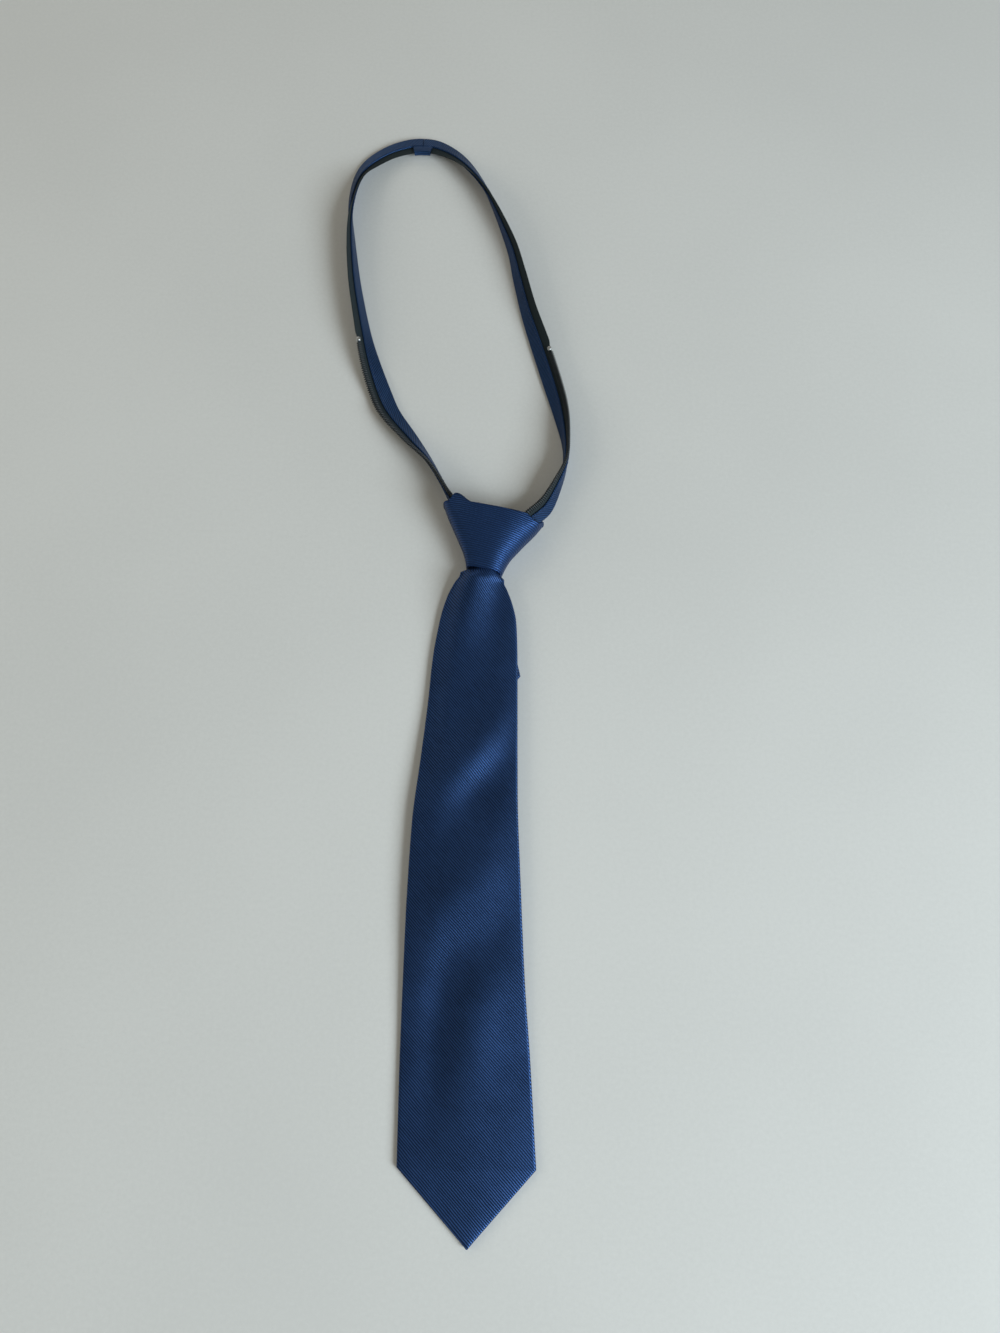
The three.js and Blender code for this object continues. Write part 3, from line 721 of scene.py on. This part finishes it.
# The blade and the tail
def flat_sections(half, thick, edge, recess, depth, under, swell):
    """Sections of a long flat piece, a row for each: its front, right edge, back and left edge.

    The arguments before under have a row for each section. under gives the height of the underside at a
    share of the half width, and swell the extra height of the front at a place across.
    """
    roll = np.minimum(edge, half) / 2
    level = half - roll
    share = -np.cos(np.linspace(0, math.pi, FRONT_POINTS + 1))[None, :]
    crown = 1 - np.abs(share) ** CROWN_POWER
    front_x = share * level
    front_z = under(share) + edge + (thick - edge) * crown + swell(front_x) * crown
    turn = np.linspace(math.pi / 2, -math.pi / 2, ROLL_POINTS + 2)[None, 1:-1]
    edge_x = level + roll * np.cos(turn)
    edge_z = edge / 2 * (1 + np.sin(turn))
    lip = np.minimum(recess, level * RECESS_LIMIT)
    in_lip = np.maximum(lip - HEM_ROLL, lip * HEM_LIMIT)
    flap = [lerp(level, lip, part) for part in (0, 0.35, 0.7)]
    back = [*flap, lip + 0.01 * lip, lip, in_lip, in_lip * 0.5]
    rise = [0, 0, 0, 0, depth * 0.2, depth, depth]
    zero = np.zeros_like(half)
    back_x = np.concatenate([*back, zero, *(-b for b in reversed(back))], axis=1)
    lifts = np.concatenate([zero + r for r in (*rise, depth, *reversed(rise))], axis=1)
    back_z = under(back_x / level) + lifts
    ones = np.ones((1, 1))
    x = np.concatenate([front_x, edge_x, back_x, -edge_x[:, ::-1]], axis=1)
    right, left = under(ones) + edge_z, under(-ones) + edge_z[:, ::-1]
    return x, np.concatenate([front_z, right, back_z, left], axis=1)


def lay_sections(x, z, middle, turn):
    """Sections laid across a middle line, each at its own place and turn."""
    return stack(middle[:, :1] + x * np.cos(turn), middle[:, 1:2] + x * np.sin(turn), z)


def swell_height(down, x):
    """The height of the blade's swells and hollows at places on its front."""
    height = np.zeros(np.broadcast(down, x).shape)
    for n in range(len(BLADE_SWELLS["down"])):
        swell = {name: column[n] for name, column in BLADE_SWELLS.items()}
        ahead = down - swell["down"] * BLADE_LENGTH
        aside = x - swell["across"] * BLADE_WIDTH
        turn = math.radians(swell["turn"])
        long = (ahead * math.cos(turn) - aside * math.sin(turn)) / (swell["length"] * BLADE_LENGTH)
        wide = (ahead * math.sin(turn) + aside * math.cos(turn)) / (swell["breadth"] * BLADE_WIDTH)
        height += swell["rise"] * BLADE_THICKNESS * np.exp(-long * long - wide * wide)
    return height


def make_blade():
    """The long front of the tie, with its folded back, the lining in its point and its gathered neck."""
    corner = BLADE_LENGTH - BLADE_POINT
    first = BLADE_ROWS["down"][0] * BLADE_LENGTH
    body = np.linspace(first, corner, int((corner - first) / BLADE_STEP))
    ahead = 1 - (1 - np.linspace(0, 1, POINT_RINGS + 1)[1:]) ** POINT_POWER
    point = corner + BLADE_POINT * ahead * POINT_END
    down = np.concatenate([body, point])[:, None]
    row = read(BLADE_ROWS, "down", np.minimum(down, corner) / BLADE_LENGTH)
    past = np.clip((down - corner) / BLADE_POINT, 0, 1)
    half = row["width"] * BLADE_WIDTH * (1 - past) / 2
    lift = row["over"] * NECK_LIFT + row["tail"] * TAIL_STACK

    def under(share):
        kept = np.where(share < 0, row["left"], row["right"])
        return lift * lerp(1, kept, smoothstep(np.abs(share), EDGE_DROOP, 1))

    def swell(x):
        return swell_height(down, x) * smoothstep(down, *SWELL_START) * (1 - past)

    thin = lerp(1, BLADE_EDGE / BLADE_THICKNESS, past)
    thick = row["thick"] * BLADE_THICKNESS * thin
    opened = np.clip((down - corner) / FLAP_OPENING + 1, 0, 1) * (BLADE_WIDTH / 2 - HEM_WIDTH)
    recess = np.maximum(SEAM_GAP / 2, np.minimum(half - HEM_WIDTH, opened))
    depth = FLAP_DEPTH * np.clip(half / HEM_WIDTH - 1, DEPTH_LIMIT, 1)
    x, z = flat_sections(half, thick, np.minimum(BLADE_EDGE, thick), recess, depth, under, swell)
    turn = -KNOT_TURN * (1 - smoothstep(down, 0, BLADE_LENGTH * BLADE_TURN_END))
    middle = np.concatenate([row["sway"] * BLADE_WIDTH * (1 - past), -down], axis=1)
    rings = lay_sections(x, z, middle, turn)
    cloth = weave(x, -down + 0 * x, BLADE_RIBS)

    neck_half = np.full((NECK_RINGS, 1), NECK_WIDTH / 2)
    neck_up = np.linspace(NECK_LENGTH, 0, NECK_RINGS)[:, None]
    neck_x, neck_z = flat_sections(
        neck_half,
        neck_half * 0 + NECK_THICKNESS + NECK_FILL,
        neck_half * 0 + NECK_THICKNESS * NECK_ROLL,
        neck_half * 0 + SEAM_GAP / 2,
        neck_half * 0 + FLAP_DEPTH / 2,
        lambda share: NECK_LIFT + 0 * share,
        lambda place: 0 * place,
    )
    neck_middle = knot_place(0, neck_up[:, 0], 0)[:, :2]
    neck = lay_sections(neck_x, neck_z, neck_middle, 0 * neck_half - KNOT_TURN)
    neck_cloth = weave(neck_x * NECK_GATHER, neck_up + 0 * neck_x, BLADE_RIBS)
    rings = np.concatenate([neck, rings])
    cloth = np.concatenate([neck_cloth, cloth])
    which = np.zeros(rings.shape[1], int)
    start = FRONT_POINTS + 1 + ROLL_POINTS + FLAP_FACES
    which[start : start + LINING_FACES] = 1
    blade = loft("satin_blade", rings, cloth, [SATIN, LINING], which)
    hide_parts("blade")


def make_tail():
    """The short pointed end behind the blade, from inside the knot down."""
    corner = TAIL_LENGTH - TAIL_POINT
    body_rings, point_rings = TAIL_RINGS
    body = np.linspace(-TAIL_RUN, corner, body_rings)
    point = np.linspace(corner, TAIL_LENGTH - TAIL_THICKNESS / 4, point_rings + 1)[1:]
    down = np.concatenate([body, point])[:, None]
    grown = lerp(NECK_WIDTH * TAIL_ROOT_WIDTH, TAIL_WIDTH, np.clip(down / corner, 0, 1))
    half = np.maximum(grown * np.clip((TAIL_LENGTH - down) / TAIL_POINT, 0, 1) / 2, TAIL_THICKNESS / 4)
    lift = TAIL_LIFT * (1 - smoothstep(down, 0, TAIL_LENGTH * TAIL_LIFT_END))
    turn = lerp(-KNOT_TURN, TAIL_TURN, smoothstep(down, -TAIL_RUN / 4, TAIL_LENGTH * TAIL_TURN_END))
    even = np.ones_like(half)
    x, z = flat_sections(
        half,
        even * TAIL_THICKNESS,
        even * TAIL_THICKNESS * TAIL_ROLL,
        even * SEAM_GAP / 2,
        even * TAIL_THICKNESS * TAIL_PRESS,
        lambda share: lift + 0 * share,
        lambda place: 0 * place,
    )
    below = np.concatenate([down * math.sin(TAIL_TURN), -down * math.cos(TAIL_TURN)], axis=1)
    inside = knot_place(0, -down[:, 0], 0)[:, :2]
    rings = lay_sections(x, z, np.where(down < 0, inside, below), turn)
    tail = loft("satin_pull_tail", rings, weave(x, -down + 0 * x, TAIL_RIBS), [SATIN])
    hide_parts("pull_tail")


def make_back_stitches():
    """The slip stitches that close the blade's back seam, and the bar tack where the flaps part."""
    opening = BLADE_LENGTH - BLADE_POINT - FLAP_OPENING

    def seam(down):
        row = read(BLADE_ROWS, "down", np.array([down / BLADE_LENGTH]))
        return row["sway"][0] * BLADE_WIDTH, row["over"][0] * NECK_LIFT + row["tail"][0] * TAIL_STACK

    paths = []
    for n, down in enumerate(np.arange(SEAM_START, opening - SEAM_STEP, SEAM_STEP)):
        middle, lift = seam(down)
        lean = SEAM_LEAN if n % 2 else -SEAM_LEAN
        t = np.linspace(-1, 1, 7)
        height = lift + BACK_THREAD + SEAM_SLACK * (1 - t * t)
        paths.append(stack(middle + t * SEAM_REACH, -down - t * lean, height))
    middle, lift = seam(opening)
    for n in range(TACK_THREADS):
        t = np.linspace(-1, 1, 9)
        height = lift + TACK_LIFT + TACK_SLACK * (1 - t ** 4)
        paths.append(stack(middle + t * TACK_REACH, TACK_START - opening - n * TACK_STEP, height))
    stitches = thread_tubes("blade_back_stitches", paths, BACK_THREAD, THREAD)


# The knot
def ear(across, start, top, top_end, end):
    """A soft rise between 0 and 1 over a stretch of the knot's lip."""
    return smoothstep(across, start, top) * (1 - smoothstep(across, top_end, end))


def lip_rise(across, is_front):
    """How far the knot's lip stands above its rim: an ear and a dip in front, and an ear at the back."""
    left = LEFT_EAR * ear(-across, *LEFT_EAR_ACROSS)
    right = RIGHT_DIP * ear(across, *RIGHT_DIP_ACROSS)
    return np.where(is_front, left - right, BACK_EAR * ear(across, *BACK_EAR_ACROSS))


def knot_ring(share, inset, rounding=0.0):
    """One ring of the knot's outer face, or of a face set in from it."""
    row = {name: float(value[0]) for name, value in read(KNOT_ROWS, "up", np.array([share])).items()}
    outer = lerp(KNOT_WAIST, KNOT_WIDTH, row["width"]) / 2
    depth = lerp(WAIST_DEPTH, RIM_DEPTH, row["depth"])
    widest = depth * KNOT_WIDEST
    angle = np.linspace(0, 2 * math.pi, KNOT_POINTS, endpoint=False)
    is_front = np.cos(angle) > 0
    front_power = np.where(np.sin(angle) > 0, FRONT_POWER_RIGHT, FRONT_POWER_LEFT)
    power = 2 / np.where(is_front, front_power, BACK_POWER)
    across = signed_power(np.sin(angle), power)
    reach = np.where(is_front, depth - widest, widest) - inset
    height = widest + reach * signed_power(np.cos(angle), power)
    off_side = smoothstep(np.abs(np.cos(angle)), 0, 1 - EAR_RIM)
    rise = lip_rise(across, is_front) * smoothstep(share, EAR_RIM, 1) * off_side
    up = share * KNOT_HEIGHT + rise + rounding
    return knot_place(across * (outer - inset) - row["sway"] * KNOT_WIDTH, up, height)


def make_knot():
    """The hollow knot: satin outside, rolled over its rim and its waist, and lining cloth inside."""
    roll = KNOT_WALL / 2
    shares = np.linspace(0, 1, KNOT_RINGS)
    turns = np.linspace(-math.pi / 2, math.pi / 2, LIP_RINGS + 2)[1:-1]

    def face_ring(share, inset):
        return knot_ring(share, inset, roll * LIP_PRESS * (float(share == 0) - float(share == 1)))

    def lip_ring(share, turn, side):
        return knot_ring(share, roll * (1 + math.sin(turn)), side * roll * (math.cos(turn) - LIP_PRESS))

    rings = [face_ring(share, 0) for share in shares]
    rings += [lip_ring(1, turn, 1) for turn in turns]
    rings += [face_ring(share, KNOT_WALL) for share in shares[::-1]]
    rings += [lip_ring(0, turn, -1) for turn in turns[::-1]]
    kinds = [0] * (len(shares) + len(turns)) + [1] * len(shares) + [0] * len(turns)
    rings = np.array(rings)
    cos, sin = math.cos(KNOT_TURN), math.sin(KNOT_TURN)
    across = rings[..., 0] * cos - rings[..., 1] * sin
    up = rings[..., 1] * cos + rings[..., 0] * sin
    cloth = weave(across * KNOT_GATHER, up, KNOT_RIBS)
    kinds = [max(a, b) for a, b in zip(kinds, kinds[1:] + kinds[:1])]
    knot = sleeve("satin_knot", rings, cloth, [KNOT_SATIN, LINING], kinds)
    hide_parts("knot")


# The route of the strap
def route_rows():
    """The strap's middle line with its lift and lean, a row for each row of its three tables."""
    rim = knot_place(0, KNOT_HEIGHT, 0)

    def in_knot(rows):
        place = knot_place(rows["across"] * KNOT_WIDTH / 2, rows["up"] * KNOT_HEIGHT, 0)
        return np.column_stack([place[:, :2], rows["lift"] * RIM_DEPTH, np.radians(rows["lean"])])

    loop = np.column_stack([
        rim[0] + STRAP_IN_LOOP["across"] * LOOP_WIDTH,
        rim[1] + STRAP_IN_LOOP["up"] * LOOP_HEIGHT,
        0 * STRAP_IN_LOOP["up"],
        np.radians(STRAP_IN_LOOP["lean"]),
    ])
    return np.vstack([in_knot(STRAP_IN_KNOT_RIGHT), loop, in_knot(STRAP_IN_KNOT_LEFT)])


ROUTE = route_rows()
ROUTE_AT = np.linspace(0, len(ROUTE) - 1, ROUTE_SHARE * (len(ROUTE) - 1) + 1)
ROUTE_STEPS = np.linalg.norm(np.diff(along_rows(ROUTE, ROUTE_AT)[:, :2], axis=0), axis=1)
ROUTE_RUN = np.concatenate([[0], np.cumsum(ROUTE_STEPS)])
ROUTE_END = ROUTE_RUN[-1]


def run_at(row):
    """The distance along the strap at a row of its route."""
    return float(np.interp(row, ROUTE_AT, ROUTE_RUN))


def strap_points(run, a, b):
    """Points of the strap at distances along it, a up from its folded edge and b out from its middle."""
    run, a, b = np.broadcast_arrays(*(np.asarray(value, float) for value in (run, a, b)))
    at = np.interp(run.ravel(), ROUTE_RUN, ROUTE_AT)
    here = along_rows(ROUTE, at)
    ahead = along_rows(ROUTE, np.minimum(at + 0.05, len(ROUTE) - 1))[:, :2]
    behind = along_rows(ROUTE, np.maximum(at - 0.05, 0))[:, :2]
    tangent = ahead - behind
    tangent /= np.linalg.norm(tangent, axis=1, keepdims=True)
    lift, lean = np.maximum(here[:, 2], 0), here[:, 3]
    height = lift + (STRAP_WIDTH / 2 - STRAP_ROUND) * np.abs(np.cos(lean)) + STRAP_ROUND
    up, out = a.ravel() - STRAP_WIDTH / 2, b.ravel()
    aside = up * np.sin(lean) + out * np.cos(lean)
    x = here[:, 0] + tangent[:, 1] * aside
    y = here[:, 1] - tangent[:, 0] * aside
    return stack(x, y, height + up * np.cos(lean) - out * np.sin(lean)).reshape(*run.shape, 3)


JOINT = run_at(len(STRAP_IN_KNOT_RIGHT["up"]) + KEEPER_ROW)
RIM_RIGHT = run_at(len(STRAP_IN_KNOT_RIGHT["up"]) - 1)
RIM_LEFT = run_at(len(ROUTE) - len(STRAP_IN_KNOT_LEFT["up"]))
HALVES = {
    "right": {"root": 0.0, "end": JOINT - CLEARANCE / 2, "zip_top": RIM_RIGHT + ZIP_RUN, "onward": 1},
    "left": {"root": ROUTE_END, "end": JOINT + CLEARANCE / 2, "zip_top": RIM_LEFT - ZIP_RUN, "onward": -1},
}


def strap_loft(name, runs, outline, finish, rib_angle):
    """A piece with one outline of a and b all along a stretch of the strap."""
    a, b = np.array(outline, float).T
    rings = strap_points(runs[:, None], a[None, :], b[None, :])
    girth = np.concatenate([[0], np.cumsum(np.hypot(np.diff(a), np.diff(b)))])
    cloth = weave(runs[:, None] + 0 * girth, girth[None, :] + 0 * runs[:, None], rib_angle)
    return loft(name, rings, cloth, [finish])


def stretch(start, end, step):
    """Distances from start to end, about step apart."""
    return np.linspace(start, end, max(int(abs(end - start) / step), 3))


def make_cover(side, half):
    """The satin strip folded round the zip tape, with soft lips."""
    outer, inner = STRAP_ROUND, STRAP_ROUND - COVER_WALL
    corner, between = COVER_WIDTH - COVER_CORNER, (outer + inner) / 2
    turns = np.linspace(math.pi / 2, 3 * math.pi / 2, 17)
    fold = [(outer + outer * math.cos(turn), outer * math.sin(turn)) for turn in turns]
    flat = [(a, outer) for a in np.linspace(COVER_WIDTH - COVER_LIP, outer, FLAT_POINTS)[:-1]]
    lip = [(corner, inner), (COVER_WIDTH, between), (corner, outer - COVER_CORNER)]
    behind = [(a, -b) for a, b in reversed(lip + flat)]
    outline = flat + fold + behind + [(COVER_ROOT, -inner), (COVER_ROOT, inner)] + lip
    runs = stretch(half["root"], half["end"], STRAP_STEP)
    cover = strap_loft(f"satin_neckband_{side}", runs, outline, BAND_SATIN, COVER_RIBS)
    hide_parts(f"neckband_cover_{side}")


def make_tape(side, half):
    """The zip tape, which shows past the cover and is wider above the stops."""
    onward = half["onward"]
    wide_from = half["zip_top"] + onward * (STOP_LENGTH + CLEARANCE)
    runs = stretch(half["root"], half["end"], STRAP_STEP)
    widening = smoothstep(onward * (runs - wide_from), 0, TAPE_WIDENING)[:, None]
    thick = TAPE_THICKNESS / 2
    shares = np.array([0, 0.25, 0.5, 0.75, 0.95, 1, 1, 0.95, 0.75, 0.5, 0.25, 0])[None, :]
    sides = np.array([1, 1, 1, 1, 1, 0.5, -0.5, -1, -1, -1, -1, -1])[None, :] * thick
    edge = lerp(STRAP_WIDTH - COIL_WIRE * 3, STRAP_WIDTH, widening)
    a = lerp(TAPE_ROOT, edge, shares)
    rings = strap_points(runs[:, None], a, sides)
    cloth = stack(a + sides, runs[:, None], 0)
    tape = loft(f"zip_tape_{side}_cloth", rings, cloth, [TAPE])
    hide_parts(f"zip_tape_{side}")


def make_coil(side, half):
    """The nylon coil on the tape's edge, one turn for each tooth."""
    middle_a = STRAP_WIDTH - COIL_WIDTH / 2
    reach_a, reach_b = COIL_WIDTH / 2 - COIL_WIRE, COIL_THICKNESS / 2 - COIL_WIRE
    start, end = half["root"], half["zip_top"] - half["onward"] * CLEARANCE
    turns = abs(end - start) / COIL_PITCH
    angle = np.linspace(0, 2 * math.pi * turns, int(turns * COIL_POINTS))
    run = lerp(start + half["onward"] * COIL_WIRE, end - half["onward"] * COIL_WIRE, angle / angle[-1])
    path = strap_points(run, middle_a + reach_a * np.cos(angle), reach_b * np.sin(angle))
    ahead = np.gradient(path, axis=0)
    ahead /= np.linalg.norm(ahead, axis=1, keepdims=True)
    middle = strap_points(run, middle_a, 0)
    outer = path - middle
    outer -= ahead * (outer * ahead).sum(axis=1, keepdims=True)
    outer /= np.linalg.norm(outer, axis=1, keepdims=True)
    aside = np.cross(ahead, outer)
    ring = np.linspace(0, 2 * math.pi, WIRE_SIDES, endpoint=False)[None, :, None]
    rings = path[:, None] + COIL_WIRE * (outer[:, None] * np.cos(ring) + aside[:, None] * np.sin(ring))
    coil = loft(f"nylon_coil_{side}", rings, np.zeros_like(rings), [COIL])
    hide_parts(f"zip_coil_{side}")


def make_stop(side, half):
    """The bright stop clipped round the tape's edge above the last tooth."""
    runs = stretch(half["zip_top"], half["zip_top"] + half["onward"] * STOP_LENGTH, STOP_STEP)
    turns = np.linspace(-STOP_GRIP * math.pi, STOP_GRIP * math.pi, 25)
    clip = np.column_stack([np.cos(turns), np.sin(turns)])
    shape = np.concatenate([clip * STOP_REACH, clip[::-1] * (STOP_REACH - STOP_WALL)])
    girths = rounded_ends(len(runs), 0.98) * STOP_ROUNDING + 1 - STOP_ROUNDING
    middle = np.array([STRAP_WIDTH - STOP_MIDDLE, 0])
    rings = np.array([strap_points(run, *(shape * girth + middle).T) for run, girth in zip(runs, girths)])
    stop = loft(f"top_stop_{side}", rings, np.zeros_like(rings), [STOP_METAL])
    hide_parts(f"zip_stop_{side}")


def make_cover_stitches(side, half):
    """The row of stitches that holds the cover to the tape, on both faces."""
    paths = []
    line = COVER_WIDTH - COVER_STITCH_INSET
    t = np.linspace(-0.5, 0.5, 6)
    out = STRAP_ROUND + COVER_STITCH_LIFT - COVER_STITCH_DIP * (2 * t) ** 4
    first, last = sorted((half["root"], half["end"]))
    for run in np.arange(first + 2, last - 2, COVER_STITCH_STEP):
        for face in (1, -1):
            paths.append(strap_points(run + t * COVER_STITCH_LENGTH, line, face * out))
    stitches = thread_tubes(f"cover_stitches_{side}", paths, COVER_THREAD, THREAD)


def make_keeper():
    """The satin strip folded over the tape's edge where the two halves meet."""
    slot = TAPE_THICKNESS / 2 + CLEARANCE
    mouth, slot_end = COVER_WIDTH + CLEARANCE, STRAP_WIDTH + CLEARANCE
    lip = KEEPER_WALL / 2
    radius = slot + KEEPER_WALL
    fold = np.linspace(-math.pi / 2, math.pi / 2, 15)
    roll = np.linspace(math.pi / 2, math.pi * 1.5, 7)[1:-1]
    inside = [(slot_end, slot), (slot_end, 0), (slot_end, -slot)]
    inside = [(a, slot) for a in np.linspace(mouth + lip, slot_end, 6)[:-1]] + inside
    inside += [(a, -slot) for a in np.linspace(slot_end, mouth + lip, 6)[1:]]
    back_lip = [(mouth + lip + lip * math.cos(t), -slot - lip + lip * math.sin(t)) for t in roll]
    top = slot_end + KEEPER_WALL - radius
    outside = [(a, -radius) for a in np.linspace(mouth + lip, top, 6)[:-1]]
    outside += [(top + radius * math.cos(t), radius * math.sin(t)) for t in fold]
    outside += [(a, radius) for a in np.linspace(top, mouth + lip, 6)[1:]]
    front_lip = [(mouth + lip + lip * math.cos(t), slot + lip + lip * math.sin(t)) for t in roll]
    runs = np.linspace(JOINT - KEEPER_LENGTH / 2, JOINT + KEEPER_LENGTH / 2, 20)
    outline = inside + back_lip + outside + front_lip
    keeper = strap_loft("satin_keeper", runs, outline, BAND_SATIN, KEEPER_RIBS)
    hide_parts("keeper_loop")


def make_slider():
    """The zip's slider, hidden in the knot: two plates joined by a bridge, wider at the loop's end."""
    plates = []
    low, high = np.array(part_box("zip_slider"))[:, 2] / MM

    def plate(name, bottom, top):
        turns = np.linspace(0, 2 * math.pi, PLATE_POINTS, endpoint=False)
        rings = []
        edges = ((bottom, 0.5), (bottom + 0.3, 0.05), (top - 0.5, 0), (top - 0.12, 0.25), (top, 0.9))
        for height, inset in edges:
            x = signed_power(np.cos(turns), PLATE_POWER) * (PLATE_WIDTH / 2 - inset)
            y = signed_power(np.sin(turns), PLATE_POWER) * (PLATE_LENGTH / 2 - inset)
            waist = 1 - PLATE_WAIST * smoothstep(-y, -PLATE_LENGTH * 0.1, PLATE_LENGTH / 2)
            rings.append(knot_place(x * waist, SLIDER_UP + y, height))
        rings = np.array(rings)
        piece = loft(name, rings, np.zeros_like(rings), [SLIDER_METAL])
        plates.append(piece)

    plate("slider_back_plate", low, low + PLATE_THICKNESS)
    plate("slider_front_plate", high - PLATE_THICKNESS, high)
    turns = np.linspace(0, 2 * math.pi, BRIDGE_POINTS, endpoint=False)
    across = np.cos(turns) * BRIDGE_WIDTH
    up = SLIDER_UP + PLATE_LENGTH * BRIDGE_UP + np.sin(turns) * BRIDGE_LENGTH
    sunk = PLATE_THICKNESS - 0.3
    rings = np.array([knot_place(across, up, height) for height in np.linspace(low + sunk, high - sunk, 5)])
    bridge = loft("slider_bridge", rings, np.zeros_like(rings), [SLIDER_METAL])
    for piece in plates:
        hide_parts("zip_slider")


def make_camera():
    """The camera over the tie, tilted as it was for the photograph."""
    eye = Vector((KNOT_FOOT + np.array(CAMERA_EYE)) * MM)
    aim = Vector((KNOT_FOOT + np.array(CAMERA_AIM)) * MM)
    data = bpy.data.cameras.new("camera")
    data.lens = CAMERA_LENS
    data.sensor_width = CAMERA_FILM
    camera = bpy.data.objects.new("camera", data)
    camera.location = eye
    camera.rotation_euler = (aim - eye).to_track_quat("-Z", "Y").to_euler()
    bpy.context.scene.collection.objects.link(camera)
    bpy.context.scene.camera = camera
    bpy.context.scene.view_settings.view_transform = "Standard"


def make_light(name, place, aim, size, power, colour, is_mirrored=True):
    """A soft rectangular light, placed in millimetres from the knot's foot."""
    data = bpy.data.lights.new(name, "AREA")
    data.shape = "RECTANGLE"
    data.size, data.size_y = (side * MM for side in size)
    data.energy = power
    data.color = colour
    light = bpy.data.objects.new(name, data)
    light.location = Vector((KNOT_FOOT + np.array(place)) * MM)
    target = Vector((KNOT_FOOT + np.array(aim)) * MM)
    light.rotation_euler = (target - light.location).to_track_quat("-Z", "Y").to_euler()
    light.visible_glossy = is_mirrored
    bpy.context.scene.collection.objects.link(light)


def make_surroundings():
    """The pale table top, the room's even light and the window's soft light from the right."""
    side = TABLE_REACH * MM
    mesh = bpy.data.meshes.new("table_top")
    corners = [(-side, -side, 0), (side, -side, 0), (side, side, 0), (-side, side, 0)]
    mesh.from_pydata(corners, [], [(0, 1, 2, 3)])
    mesh.materials.append(table_top("table_top", (0.64, 0.64, 0.63, 1), (0.7, 0.7, 0.69, 1)))
    top = bpy.data.objects.new("table_top", mesh)
    bpy.context.scene.collection.objects.link(top)
    world = bpy.data.worlds.new("room")
    world.use_nodes = True
    background = world.node_tree.nodes["Background"]
    background.inputs["Color"].default_value = ROOM_COLOUR
    background.inputs["Strength"].default_value = ROOM_STRENGTH
    bpy.context.scene.world = world
    make_light("window", (1400, -950, 1050), (0, -150, 0), (1000, 1000), 44, (0.84, 0.95, 1))
    make_light("far_wall", (-700, 1600, 900), (0, 0, 0), (1600, 900), 5, (1, 0.97, 0.9))
    make_light("left_wall", (-1700, -300, 900), (-200, -50, 0), (1600, 900), 9, (1, 0.96, 0.84), False)


make_camera()
make_surroundings()
make_blade()
make_tail()
make_back_stitches()
make_knot()
for side, half in HALVES.items():
    make_cover(side, half)
    make_tape(side, half)
    make_coil(side, half)
    make_stop(side, half)
    make_cover_stitches(side, half)
make_keeper()
make_slider()
